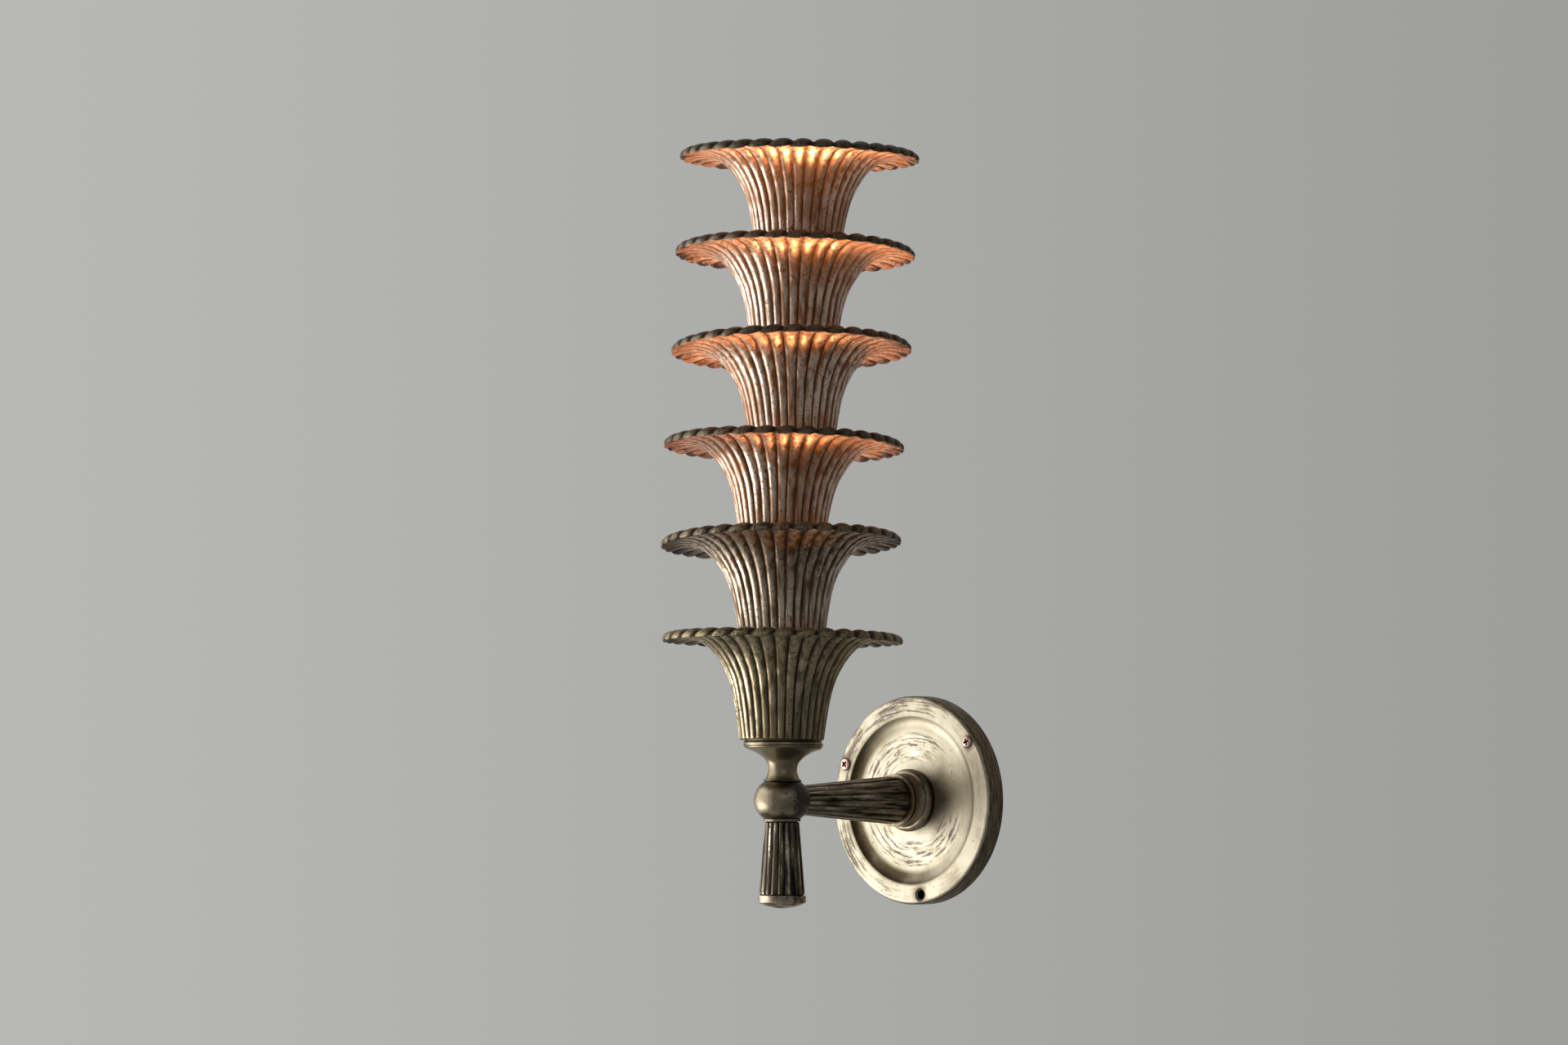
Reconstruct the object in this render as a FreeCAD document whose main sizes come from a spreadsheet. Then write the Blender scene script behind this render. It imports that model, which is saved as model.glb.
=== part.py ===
import FreeCAD, Part

import math
import os
import re

import Sketcher

# Shell wall sconce, in millimetres. The origin is the centre of the circle of wall-screw holes on
# the wall plane. +Z is up, the wall is the plane y = 0 and the sconce reaches out along -Y.
# Three directions carry the pieces: out of the wall (plate, collar, arm), up the stack (neck, cups,
# lamp), which leans a little about the ball's centre, and down from the ball (pendant).

doc = FreeCAD.newDocument("ShellSconce")
sheet = doc.addObject("Spreadsheet::Sheet", "Sizes")

DIMENSIONS = [
    ("plate_radius", 62.0, "outer radius of the round backplate"),
    ("plate_depth", 12.4, "wall plane to the flat rim of the plate"),
    ("plate_side_wall", 2.8, "thickness of the plate's side wall"),
    ("plate_floor", 3.0, "thickness of the dished floor"),
    ("plate_shoulder", 2.4, "rounding of the plate's outer shoulder"),
    ("dish_radius", 50.0, "radius of the edge from flat rim to dish"),
    ("dish_depth", 2.6, "how far the dish lies below the rim"),
    ("dish_cove", 6.5, "width of the hollow slope down to the dish floor"),
    ("wall_screw_circle", 56.5, "radius of the circle of wall-screw holes"),
    ("wall_screw_hole", 2.5, "radius of a wall-screw hole"),
    ("wall_screw_sink", 4.0, "radius of the countersink at its mouth"),
    ("wall_screw_turn", 37.5, "angle of the first screw hole from +X"),
    ("wall_screw_count", 3.0, "number of wall-screw holes"),
    ("wall_pad_radius", 5.0, "radius of the cast pad behind each hole"),
    ("foot_radius", 18.6, "radius of the raised foot in the dish"),
    ("foot_height", 1.8, "height of that foot above the dish floor"),
    ("foot_flare", 8.4, "width of the hollow slope from the foot out to the floor"),
    ("collar_radius", 19.0, "largest radius of the collar"),
    ("collar_bead", 6.0, "width of the collar's round bead"),
    ("collar_cove", 5.6, "width of the cove in front of the bead"),
    ("collar_step", 1.6, "width of the middle ring"),
    ("collar_gap", 1.2, "width of the groove between the two rings"),
    ("collar_ring", 2.4, "width of the thin ring next to the arm"),
    ("collar_neck_radius", 14.4, "radius at the foot of the cove and in the groove"),
    ("collar_step_radius", 15.9, "radius of the middle ring"),
    ("collar_ring_radius", 15.6, "radius of the thin ring"),
    ("arm_tip_radius", 8.5, "radius over the reeds at the ball"),
    ("arm_root_radius", 14.5, "radius over the reeds at the collar"),
    ("arm_reeds", 18.0, "number of reeds round the arm"),
    ("reed_depth", 0.075, "depth of a reed as a share of the radius"),
    ("reed_sides", 4.0, "flats that make up one reed"),
    ("reed_tip", 3.2, "length over which the end of a reed rounds off"),
    ("arm_length", 81.9, "length of the reeded arm"),
    ("ball_radius", 16.5, "radius of the ball at its waist"),
    ("ball_half_height", 10.9, "waist of the ball to its flats"),
    ("ball_flat_radius", 10.3, "radius of the flats above and below"),
    ("ball_spare", 1.0, "height left on the ball before its leaning flat is cut"),
    ("tube_radius", 5.0, "outer radius of the threaded tubes"),
    ("tube_bore", 3.5, "bore of the threaded tubes"),
    ("screw_clearance", 0.05, "radial clearance round a tube or stud"),
    ("tube_grip", 6.5, "how far a tube screws into the ball"),
    ("tube_tail", 1.6, "tube left showing beyond its nut"),
    ("washer_radius", 11.0, "radius of the washer behind the plate"),
    ("washer_thickness", 1.2, "thickness of that washer"),
    ("nut_flats", 14.0, "width across flats of the thin hexagon nuts"),
    ("nut_thickness", 3.0, "thickness of those nuts"),
    ("stack_lean", 1.7, "lean of the stack towards the wall, degrees"),
    ("neck_foot_radius", 11.8, "radius of the neck's foot on the ball"),
    ("neck_foot_height", 1.6, "height of that foot"),
    ("neck_waist_radius", 8.2, "smallest radius of the neck"),
    ("neck_waist_height", 7.4, "ball's flat to the neck's waist"),
    ("neck_top_radius", 22.4, "radius of the flared top of the neck"),
    ("neck_height", 19.9, "height of the neck"),
    ("neck_cove", 9.0, "radius of the curve below the waist"),
    ("neck_flare", 20.0, "radius of the curve of the neck's flare"),
    ("neck_edge", 0.5, "height of the neck's top edge"),
    ("seat_radius", 23.2, "radius of the disc under the lowest cup"),
    ("seat_thickness", 2.8, "thickness of that disc"),
    ("seat_edge", 0.5, "bulge of the disc's rounded edge"),
    ("seat_step_radius", 22.4, "radius of the step the cup stands on"),
    ("seat_step", 1.2, "height of that step"),
    ("cup_pitch", 56.5, "base of one cup to base of the next"),
    ("cup_count", 6.0, "number of cups"),
    ("cup_flutes", 34.0, "reeds round each cup, and lobes round its rim"),
    ("flute_depth", 0.045, "depth of a groove as a share of the radius"),
    ("lobe_depth", 0.022, "depth between two lobes of the rim, likewise"),
    ("lobe_slant", 0.5, "lean of a lobe over the rim, as a share of its width"),
    ("cup_base_radius", 24.7, "ridge radius at the cup's base"),
    ("cup_shank_radius", 28.9, "ridge radius where the flare begins"),
    ("cup_shank_height", 26.5, "height of that place"),
    ("cup_flare_radius", 36.8, "ridge radius half way up the flare"),
    ("cup_flare_height", 45.5, "height of that place"),
    ("cup_throat_radius", 47.5, "ridge radius near the top of the flare"),
    ("cup_throat_height", 57.2, "height of that place"),
    ("cup_turn_radius", 57.0, "ridge radius where the lip turns down"),
    ("cup_turn_height", 59.5, "height under the lip there"),
    ("cup_rim_radius", 70.2, "radius of the gadrooned rim"),
    ("cup_rim_height", 55.3, "height of the rim's lower edge"),
    ("rim_edge", 2.4, "height of the rim's outer edge"),
    ("rim_draw", 1.2, "how far the lower edge lies inside the rim"),
    ("lip_crest_radius", 59.0, "radius of the top of the lip"),
    ("lip_crest_height", 61.9, "height of the top of the lip"),
    ("cup_bore", 22.0, "radius of the bore at the cup's base"),
    ("cup_bore_height", 10.0, "height of that straight bore"),
    ("cup_wall", 2.1, "wall of the casting above the bore"),
    ("rod_radius", 1.5, "radius of a stay rod"),
    ("rod_count", 3.0, "number of stay rods"),
    ("rod_turn", 90.0, "angle of the first stay rod from +X"),
    ("braze_gap", 0.03, "braze film between a rod and a bore"),
    ("base_disc_thickness", 4.0, "thickness of the disc in the lowest cup"),
    ("base_disc_gap", 0.15, "gap round that disc"),
    ("holder_radius", 17.2, "outer radius of the lampholder"),
    ("holder_floor", 2.4, "thickness of the holder's cap floor"),
    ("holder_cap_height", 16.0, "height of the holder's cap"),
    ("holder_wall", 1.6, "wall of the holder's cap"),
    ("sleeve_height", 27.5, "height of the holder's threaded sleeve"),
    ("sleeve_bore", 13.5, "bore of the sleeve over its thread"),
    ("contact_thickness", 6.0, "thickness of the holder's contact block"),
    ("contact_gap", 0.1, "gap round the contact block"),
    ("contact_spring_radius", 4.0, "radius of the centre contact"),
    ("contact_spring", 3.0, "height of the centre contact"),
    ("lamp_seat_gap", 0.3, "gap from the centre contact to the lamp"),
    ("lamp_length", 300.0, "length of the tubular lamp"),
    ("lamp_radius", 15.0, "radius of the lamp's glass"),
    ("glass_wall", 0.9, "thickness of the glass"),
    ("lamp_cap_radius", 13.1, "radius of the lamp's screw cap"),
    ("lamp_cap_length", 27.0, "length of the screw cap"),
    ("lamp_cap_wall", 0.5, "thickness of the cap's shell"),
    ("lamp_cap_floor", 8.0, "height of the floor inside the cap"),
    ("lamp_cap_cone", 7.0, "height of the foot of the threaded part"),
    ("lamp_button_radius", 5.0, "radius of the cap's contact button"),
    ("lamp_button", 2.0, "height of that button"),
    ("glass_neck_radius", 12.5, "radius of the glass inside the cap"),
    ("glass_neck_length", 5.0, "length of glass inside the cap"),
    ("glass_shoulder", 9.0, "height of the shoulder above the cap"),
    ("lamp_stem_radius", 4.0, "radius of the glass stem"),
    ("lamp_stem_length", 34.0, "length of the glass stem"),
    ("filament_radius", 0.9, "radius of a light-giving rod"),
    ("filament_circle", 6.5, "radius of the circle of those rods"),
    ("filament_count", 4.0, "number of those rods"),
    ("filament_end_gap", 16.0, "top of the lamp to the upper carrier"),
    ("carrier_thickness", 1.0, "thickness of each carrier disc"),
    ("flex_radius", 2.6, "radius of the inner flex"),
    ("flex_bend", 8.0, "radius of its bend in the ball"),
    ("pendant_ring_radius", 10.8, "radius of the ring under the ball"),
    ("pendant_ring_thickness", 1.4, "thickness of that ring"),
    ("pendant_top_radius", 10.0, "radius over the reeds at the top"),
    ("pendant_end_radius", 13.4, "radius over the reeds at the bottom"),
    ("pendant_length", 42.9, "length of the reeded drop"),
    ("pendant_reeds", 18.0, "number of reeds round the drop"),
    ("pendant_cap_radius", 13.9, "radius of the cap under the drop"),
    ("pendant_cap_band", 4.0, "height of the cap's straight band"),
    ("pendant_dome", 3.4, "depth of the cap's shallow dome"),
    ("stud_radius", 3.0, "radius of the stud that holds the pendant"),
    ("stud_grip", 2.6, "how far the stud enters the cap"),
]


def fill_sheet():
    for row, (alias, number, note) in enumerate(DIMENSIONS, start=1):
        sheet.set("A%d" % row, note)
        sheet.set("B%d" % row, str(number))
        sheet.setAlias("B%d" % row, alias)
    doc.recompute()


fill_sheet()
ALIAS = re.compile(r"\b(" + "|".join(name for name, _, _ in DIMENSIONS) + r")\b")


def value(expression):
    """The number that an expression over the sheet's aliases gives now."""
    return float(sheet.evalExpression(expression))


def bound(expression):
    """The same expression as another object's property needs it."""
    return ALIAS.sub(r"Sizes.\1", expression)


# ---------------------------------------------------------------- places

# heights up the stack, from the ball's centre
NECK_FOOT = "ball_half_height"
SEAT = NECK_FOOT + " + neck_height"
CUP_BASE = SEAT + " + seat_thickness + seat_step"
STEM_NUT = CUP_BASE + " + base_disc_thickness"
HOLDER = STEM_NUT + " + nut_thickness"
SLEEVE = HOLDER + " + holder_cap_height"
CONTACT = SLEEVE + " - contact_thickness"
LAMP = SLEEVE + " + contact_spring + lamp_seat_gap"

# distances out of the wall
DISH_FLOOR = "(plate_depth - dish_depth)"
FOOT_FACE = "(" + DISH_FLOOR + " + foot_height)"
PLATE_BACK = "(" + DISH_FLOOR + " - plate_floor)"
COLLAR_LENGTH = "(collar_bead + collar_cove + collar_step + collar_gap + collar_ring)"
ARM_ROOT = "(" + FOOT_FACE + " + " + COLLAR_LENGTH + ")"
ARM_SEAT = "(" + ARM_ROOT + " + arm_length)"
BALL_BACK_FLAT = "sqrt(ball_radius ^ 2 - arm_tip_radius ^ 2)"
BALL_CURVE = "(((ball_radius - ball_flat_radius) ^ 2 + ball_half_height ^ 2)"
BALL_CURVE += " / (2 * (ball_radius - ball_flat_radius)))"
BALL_REACH = "(" + ARM_SEAT + " + " + BALL_BACK_FLAT + ")"

# distances down from the ball's centre
PENDANT_TOP = "ball_half_height + pendant_ring_thickness"
PENDANT_END = PENDANT_TOP + " + pendant_length"


def bind_place(piece, axis, angle, y_expression, z_expression):
    """Turn a piece about +X or -X and set it at (0, y, z), both bound to the sheet."""
    piece.Placement = FreeCAD.Placement(
        FreeCAD.Vector(0, value(y_expression), value(z_expression)),
        FreeCAD.Rotation(FreeCAD.Vector(axis, 0, 0), value(angle)),
    )
    piece.setExpression("Placement.Base.y", bound(y_expression))
    piece.setExpression("Placement.Base.z", bound(z_expression))
    if angle == "stack_lean":
        piece.setExpression("Placement.Rotation.Angle", bound(angle))
    return piece


def out_of_wall(piece, reach):
    """Stand a piece so that its own +Z points out of the wall."""
    return bind_place(piece, 1, "90", "-(%s)" % reach, "0")


def up_stack(piece, height):
    """Stand a piece on the leaning axis of the stack."""
    across = "-%s + (%s) * sin(stack_lean)" % (BALL_REACH, height)
    return bind_place(piece, -1, "stack_lean", across, "(%s) * cos(stack_lean)" % height)


def below_ball(piece, depth):
    """Hang a piece so that its own +Z points down from the ball."""
    return bind_place(piece, 1, "180", "-" + BALL_REACH, "-(%s)" % depth)


# ---------------------------------------------------------------- makers


def origin_plane(body, role):
    return next(f for f in body.Origin.OriginFeatures if f.Role == role)


def new_body(label):
    body = doc.addObject("PartDesign::Body", label)
    body.Label = label
    return body


def new_sketch(body, name, role="XZ_Plane"):
    sketch = body.newObject("Sketcher::SketchObject", name)
    sketch.AttachmentSupport = [(origin_plane(body, role), "")]
    sketch.MapMode = "FlatFace"
    return sketch


def arc_between(start, end, radius):
    """Arc from start to end: a positive radius bulges left of the way from start to end."""
    chord = end - start
    side = FreeCAD.Vector(-chord.y, chord.x, 0).normalize()
    rise = abs(radius) - math.sqrt(radius * radius - chord.Length ** 2 / 4)
    crown = (start + end) * 0.5 + side * math.copysign(rise, radius)
    return Part.Arc(start, crown, end)


def draw_outline(sketch, corners):
    """Close an outline through corners (across, up[, radius of the arc that leads there])."""
    points = [FreeCAD.Vector(value(corner[0]), value(corner[1]), 0) for corner in corners]
    spans = []
    for i, corner in enumerate(corners):
        start, end = points[i - 1], points[i]
        if len(corner) == 3:
            index = sketch.addGeometry(arc_between(start, end, value(corner[2])), False)
        else:
            index = sketch.addGeometry(Part.LineSegment(start, end), False)
        starts_there = sketch.getPoint(index, 1).distanceToPoint(start) < 1e-6
        spans.append((index, 1, 2) if starts_there else (index, 2, 1))
    for i, corner in enumerate(corners):
        index, _, last = spans[i]
        following, first, _ = spans[(i + 1) % len(spans)]
        sketch.addConstraint(Sketcher.Constraint("Coincident", index, last, following, first))
        fix_point(sketch, index, last, corner)
        if len(corner) == 3:
            radius = "abs(%s)" % corner[2]
            number = sketch.addConstraint(Sketcher.Constraint("Radius", index, value(radius)))
            sketch.setExpression("Constraints[%d]" % number, bound(radius))


def fix_point(sketch, index, end, corner):
    """Tie one end of a line or arc to its two distances from the sketch's origin."""
    for kind, axis, expression in (("DistanceX", -2, corner[0]), ("DistanceY", -1, corner[1])):
        if expression == "0":
            sketch.addConstraint(Sketcher.Constraint("PointOnObject", index, end, axis))
            continue
        distance = Sketcher.Constraint(kind, -1, 1, index, end, value(expression))
        number = sketch.addConstraint(distance)
        sketch.setExpression("Constraints[%d]" % number, bound(expression))


def turned(label, corners):
    """A piece turned about its own Z axis from one closed outline of (radius, height)."""
    body = new_body(label)
    sketch = new_sketch(body, label + "_outline")
    draw_outline(sketch, corners)
    spun = body.newObject("PartDesign::Revolution", label + "_turned")
    spun.Profile = sketch
    spun.ReferenceAxis = (sketch, ["V_Axis"])
    spun.Angle = 360
    sketch.Visibility = False
    doc.recompute()
    return body


def repeat_round(body, feature, sketch, count):
    """Repeat a feature round the body's Z axis."""
    pattern = body.newObject("PartDesign::PolarPattern", feature.Name + "_ring")
    pattern.Originals = [feature]
    pattern.Axis = (origin_plane(body, "Z_Axis"), [""])
    pattern.Angle = 360
    pattern.Occurrences = int(value(count))
    pattern.setExpression("Occurrences", bound(count))
    body.Tip = pattern
    doc.recompute()
    return pattern


def spun_round(body, kind, name, circle, turn, count, corners):
    """Add or cut a small turned form on a circle about Z, and repeat it round the body."""
    sketch = new_sketch(body, name + "_outline")
    sketch.AttachmentOffset = FreeCAD.Placement(
        FreeCAD.Vector(0, 0, 0), FreeCAD.Rotation(FreeCAD.Vector(0, 1, 0), value(turn))
    )
    sketch.setExpression("AttachmentOffset.Rotation.Angle", bound(turn))
    draw_outline(sketch, [("%s + %s" % (circle, c[0]), c[1]) for c in corners])
    spindle = Part.LineSegment(
        FreeCAD.Vector(value(circle), -1, 0), FreeCAD.Vector(value(circle), 1, 0)
    )
    index = sketch.addGeometry(spindle, True)
    for end, up in ((1, "-1"), (2, "1")):
        fix_point(sketch, index, end, (circle, up))
    form = body.newObject("PartDesign::" + kind, name)
    form.Profile = sketch
    form.ReferenceAxis = (sketch, ["Axis0"])
    form.Angle = 360
    doc.recompute()
    return repeat_round(body, form, sketch, count)


def plain_piece(label, shape):
    """A piece whose form comes from a formula."""
    piece = doc.addObject("Part::Feature", label)
    piece.Label = label
    piece.Shape = shape
    return piece


def named(piece):
    piece.Label = piece.Name
    return piece


def cylinder(name, radius, height, start="0"):
    post = doc.addObject("Part::Cylinder", name)
    post.setExpression("Radius", bound(radius))
    post.setExpression("Height", bound(height))
    post.Placement.Base.z = value(start)
    post.setExpression("Placement.Base.z", bound(start))
    return post


def tube(label, radius, bore, length):
    """A plain tube along its own Z axis."""
    outer = cylinder(label + "_outside", radius, length)
    inner = cylinder(label + "_bore", bore, length)
    piece = doc.addObject("Part::Cut", label)
    piece.Label = label
    piece.Base = outer
    piece.Tool = inner
    doc.recompute()
    return piece


def thin_nut(label):
    """A thin hexagon nut for the threaded tubes."""
    body = new_body(label)
    sketch = new_sketch(body, label + "_outline", "XY_Plane")
    across = value("nut_flats / sqrt(3)")
    corners = [
        FreeCAD.Vector(across * math.cos(math.radians(60 * i)), across * math.sin(math.radians(60 * i)), 0)
        for i in range(6)
    ]
    for i in range(6):
        sketch.addGeometry(Part.LineSegment(corners[i], corners[(i + 1) % 6]), False)
    ring = sketch.addGeometry(Part.Circle(FreeCAD.Vector(), FreeCAD.Vector(0, 0, 1), across), True)
    for i in range(6):
        sketch.addConstraint(Sketcher.Constraint("Coincident", i, 2, (i + 1) % 6, 1))
        sketch.addConstraint(Sketcher.Constraint("PointOnObject", i, 1, ring))
        if i:
            sketch.addConstraint(Sketcher.Constraint("Equal", 0, i))
    sketch.addConstraint(Sketcher.Constraint("Coincident", ring, 3, -1, 1))
    sketch.addConstraint(Sketcher.Constraint("PointOnObject", 0, 1, -1))
    number = sketch.addConstraint(Sketcher.Constraint("Radius", ring, across))
    sketch.setExpression("Constraints[%d]" % number, bound("nut_flats / sqrt(3)"))
    hole = "tube_radius + screw_clearance"
    bore = sketch.addGeometry(
        Part.Circle(FreeCAD.Vector(), FreeCAD.Vector(0, 0, 1), value(hole)), False
    )
    sketch.addConstraint(Sketcher.Constraint("Coincident", bore, 3, -1, 1))
    number = sketch.addConstraint(Sketcher.Constraint("Radius", bore, value(hole)))
    sketch.setExpression("Constraints[%d]" % number, bound(hole))
    pad = body.newObject("PartDesign::Pad", label + "_pad")
    pad.Profile = sketch
    pad.setExpression("Length", bound("nut_thickness"))
    doc.recompute()
    return body


def facet(*corners):
    return Part.Face(Part.makePolygon([*corners, corners[0]]))


def band(lower, upper, flat):
    """Faces between two like sections: flat ones, or pairs of triangles where they would twist."""
    faces = []
    for i in range(len(lower)):
        k = (i + 1) % len(lower)
        if flat:
            faces.append(facet(lower[i], lower[k], upper[k], upper[i]))
        else:
            faces.append(facet(lower[i], lower[k], upper[i]))
            faces.append(facet(lower[k], upper[k], upper[i]))
    return faces


def closed_solid(faces):
    """The solid that a closed set of faces bounds."""
    shell = Part.makeShell(faces)
    shell.sewShape()
    solid = Part.makeSolid(shell)
    if solid.Volume < 0:
        solid.reverse()
    return solid


def reed_loop(crown, height, reeds, fullness=1.0):
    """Corners of a reeded section: each reed is a low arch of a few chords between two valleys."""
    depth = crown * value("reed_depth")
    sides = int(value("reed_sides"))
    loop = []
    for i in range(reeds * sides):
        across = 2 * (i % sides) / sides - 1
        radius = crown - depth + depth * fullness * (1 - across * across)
        angle = 2 * math.pi * i / (reeds * sides)
        loop.append(FreeCAD.Vector(radius * math.cos(angle), radius * math.sin(angle), height))
    return loop


TUBE_HOLE = "tube_radius + screw_clearance"
STUD_HOLE = "stud_radius + screw_clearance"
ARM_TUBE_START = "(%s - washer_thickness - nut_thickness - tube_tail)" % PLATE_BACK
CUP_BORE_FLAT = "(cup_bore * cos(180 / cup_flutes))"
ROD_CIRCLE = "(%s - rod_radius - braze_gap)" % CUP_BORE_FLAT


def tangent_arc(run, rise):
    """Radius of an arc that leaves a flat floor smoothly and climbs rise over run."""
    return "((%s ^ 2 + %s ^ 2) / (2 * %s))" % (run, rise, rise)


# ---------------------------------------------------------------- wall plate, collar and arm


def make_backplate():
    """Round cast plate: flat rim, shallow dish, raised foot, hollow behind."""
    plate = turned(
        "backplate",
        [
            ("plate_radius - plate_side_wall", "0"),
            ("plate_radius", "0"),
            ("plate_radius", "plate_depth - plate_shoulder"),
            ("plate_radius - plate_shoulder", "plate_depth", "-plate_shoulder"),
            ("dish_radius", "plate_depth"),
            ("dish_radius - dish_cove", DISH_FLOOR, tangent_arc("dish_cove", "dish_depth")),
            ("foot_radius + foot_flare", DISH_FLOOR),
            ("foot_radius", FOOT_FACE, tangent_arc("foot_flare", "foot_height")),
            (TUBE_HOLE, FOOT_FACE),
            (TUBE_HOLE, PLATE_BACK),
            ("plate_radius - plate_side_wall", PLATE_BACK),
        ],
    )
    place = ("wall_screw_circle", "wall_screw_turn", "wall_screw_count")
    pad_top = PLATE_BACK + " + plate_floor / 2"
    pad = [("0", "0"), ("wall_pad_radius", "0"), ("wall_pad_radius", pad_top), ("0", pad_top)]
    spun_round(plate, "Revolution", "wall_pad", *place, pad)
    hole = [
        ("0", "0"),
        ("wall_screw_hole", "0"),
        ("wall_screw_hole", "plate_depth - (wall_screw_sink - wall_screw_hole)"),
        ("wall_screw_sink", "plate_depth"),
        ("0", "plate_depth"),
    ]
    spun_round(plate, "Groove", "wall_hole", *place, hole)
    return out_of_wall(plate, "0")


def make_arm_collar():
    """Turned collar between plate and arm: bead, cove, and two rings with a groove between."""
    cove_start = "collar_bead"
    cove_end = "collar_bead + collar_cove"
    step_end = cove_end + " + collar_step"
    ring_start = COLLAR_LENGTH + " - collar_ring"
    collar = turned(
        "arm_collar",
        [
            (TUBE_HOLE, "0"),
            ("collar_radius - collar_bead / 2", "0"),
            ("collar_radius - collar_bead / 2", cove_start, "-0.503 * collar_bead"),
            ("collar_neck_radius", cove_end, "1.1 * collar_cove"),
            ("collar_step_radius", cove_end),
            ("collar_step_radius", step_end),
            ("collar_neck_radius", step_end),
            ("collar_neck_radius", ring_start),
            ("collar_ring_radius", ring_start),
            ("collar_ring_radius", COLLAR_LENGTH),
            (TUBE_HOLE, COLLAR_LENGTH),
        ],
    )
    return out_of_wall(collar, FOOT_FACE)


# how a reed's end rounds off: share of the tip's length, share of the reed's full rise
REED_TIP = ((0.0, 0.25), (0.3, 0.75), (1.0, 1.0))


def reeded_drop(label, start_radius, end_radius, length, reeds, bore):
    """A tapering drop of round-ended reeds, each a few flats that lie on its curve, and a bore."""
    whole = value(length)
    steps = [(value("reed_tip") * along, full) for along, full in REED_TIP]
    steps += [(whole - height, full) for height, full in reversed(steps)]
    loops = []
    for height, full in steps:
        crown = value(start_radius) + (value(end_radius) - value(start_radius)) * height / whole
        loops.append(reed_loop(crown, height, int(value(reeds)), full))
    faces = [facet(*loops[0]), facet(*loops[-1])]
    for i in range(len(loops) - 1):
        faces += band(loops[i], loops[i + 1], steps[i][1] == steps[i + 1][1])
    drop = closed_solid(faces)
    return plain_piece(label, drop.cut(Part.makeCylinder(value(bore), whole)))


def make_arm():
    """The tapering reeded arm, narrow at the ball and wide at the collar."""
    arm = reeded_drop(
        "arm", "arm_root_radius", "arm_tip_radius", "arm_length", "arm_reeds", TUBE_HOLE
    )
    return out_of_wall(arm, ARM_ROOT)


def make_arm_tube():
    """Threaded tube that pulls plate, collar, arm and ball together and carries the flex."""
    length = "%s + tube_grip - %s" % (ARM_SEAT, ARM_TUBE_START)
    return out_of_wall(tube("arm_tube", "tube_radius", "tube_bore", length), ARM_TUBE_START)


def make_back_washer():
    """Flat washer behind the plate."""
    washer = tube("back_washer", "washer_radius", TUBE_HOLE, "washer_thickness")
    return out_of_wall(washer, "%s - washer_thickness" % PLATE_BACK)


def make_back_nut():
    """Nut that draws the arm against the plate."""
    return out_of_wall(thin_nut("back_nut"), "%s - washer_thickness - nut_thickness" % PLATE_BACK)


# ---------------------------------------------------------------- ball


def make_ball_hub():
    """Ball with a flat for each of its three neighbours, threaded for them, hollow for the flex."""
    crown = "(ball_half_height + ball_spare)"
    crown_radius = "ball_radius - %s + sqrt(%s ^ 2 - %s ^ 2)" % (BALL_CURVE, BALL_CURVE, crown)
    ball = turned(
        "ball_blank",
        [
            ("0", "0"),
            ("ball_flat_radius", "0"),
            (crown_radius, "ball_half_height + " + crown, "-" + BALL_CURVE),
            ("0", "ball_half_height + " + crown),
        ],
    )
    bind_place(ball, 1, "0", "-" + BALL_REACH, "-ball_half_height")
    back = doc.addObject("Part::Cylinder", "ball_back_flat")
    back.setExpression("Radius", bound("2 * ball_radius"))
    back.setExpression("Height", bound("ball_radius"))
    top = doc.addObject("Part::Cylinder", "ball_top_flat")
    top.setExpression("Radius", bound("2 * ball_radius"))
    top.setExpression("Height", bound("ball_radius"))
    cuts = [
        out_of_wall(back, ARM_SEAT + " - ball_radius"),
        up_stack(top, NECK_FOOT),
        up_stack(cylinder("ball_upper_thread", TUBE_HOLE, "ball_radius"), "0"),
        out_of_wall(cylinder("ball_rear_thread", TUBE_HOLE, "ball_radius"), ARM_SEAT),
        below_ball(cylinder("ball_lower_thread", STUD_HOLE, "ball_radius"), "0"),
    ]
    hub = ball
    for number, tool in enumerate(cuts, start=1):
        cut = doc.addObject("Part::Cut", "ball_cut_%d" % number)
        cut.Base = hub
        cut.Tool = tool
        hub = cut
    doc.recompute()
    hub.Label = "ball_hub"
    return hub


# ---------------------------------------------------------------- neck and seat


def make_neck():
    """Turned neck: a foot on the ball, a waist and a wide flare under the seat disc."""
    neck = turned(
        "neck",
        [
            (TUBE_HOLE, "0"),
            ("neck_foot_radius", "0"),
            ("neck_foot_radius", "neck_foot_height"),
            ("neck_waist_radius", "neck_waist_height", "neck_cove"),
            ("neck_top_radius", "neck_height - neck_edge", "neck_flare"),
            ("neck_top_radius", "neck_height"),
            (TUBE_HOLE, "neck_height"),
        ],
    )
    return up_stack(neck, NECK_FOOT)


def make_seat_disc():
    """Disc on the neck, with a rounded edge and the step that the lowest cup stands on."""
    flat = "seat_radius - seat_edge"
    edge = "-((seat_thickness / 2) ^ 2 + seat_edge ^ 2) / (2 * seat_edge)"
    disc = turned(
        "seat_disc",
        [
            (TUBE_HOLE, "0"),
            (flat, "0"),
            (flat, "seat_thickness", edge),
            ("seat_step_radius", "seat_thickness"),
            ("seat_step_radius", "seat_thickness + seat_step"),
            (TUBE_HOLE, "seat_thickness + seat_step"),
        ],
    )
    return up_stack(disc, SEAT)


def make_neck_tube():
    """Threaded tube from the ball up through neck, seat and base disc into the lampholder."""
    start = "ball_half_height - tube_grip"
    length = HOLDER + " + holder_floor + tube_tail - (%s)" % start
    return up_stack(tube("neck_tube", "tube_radius", "tube_bore", length), start)


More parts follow.
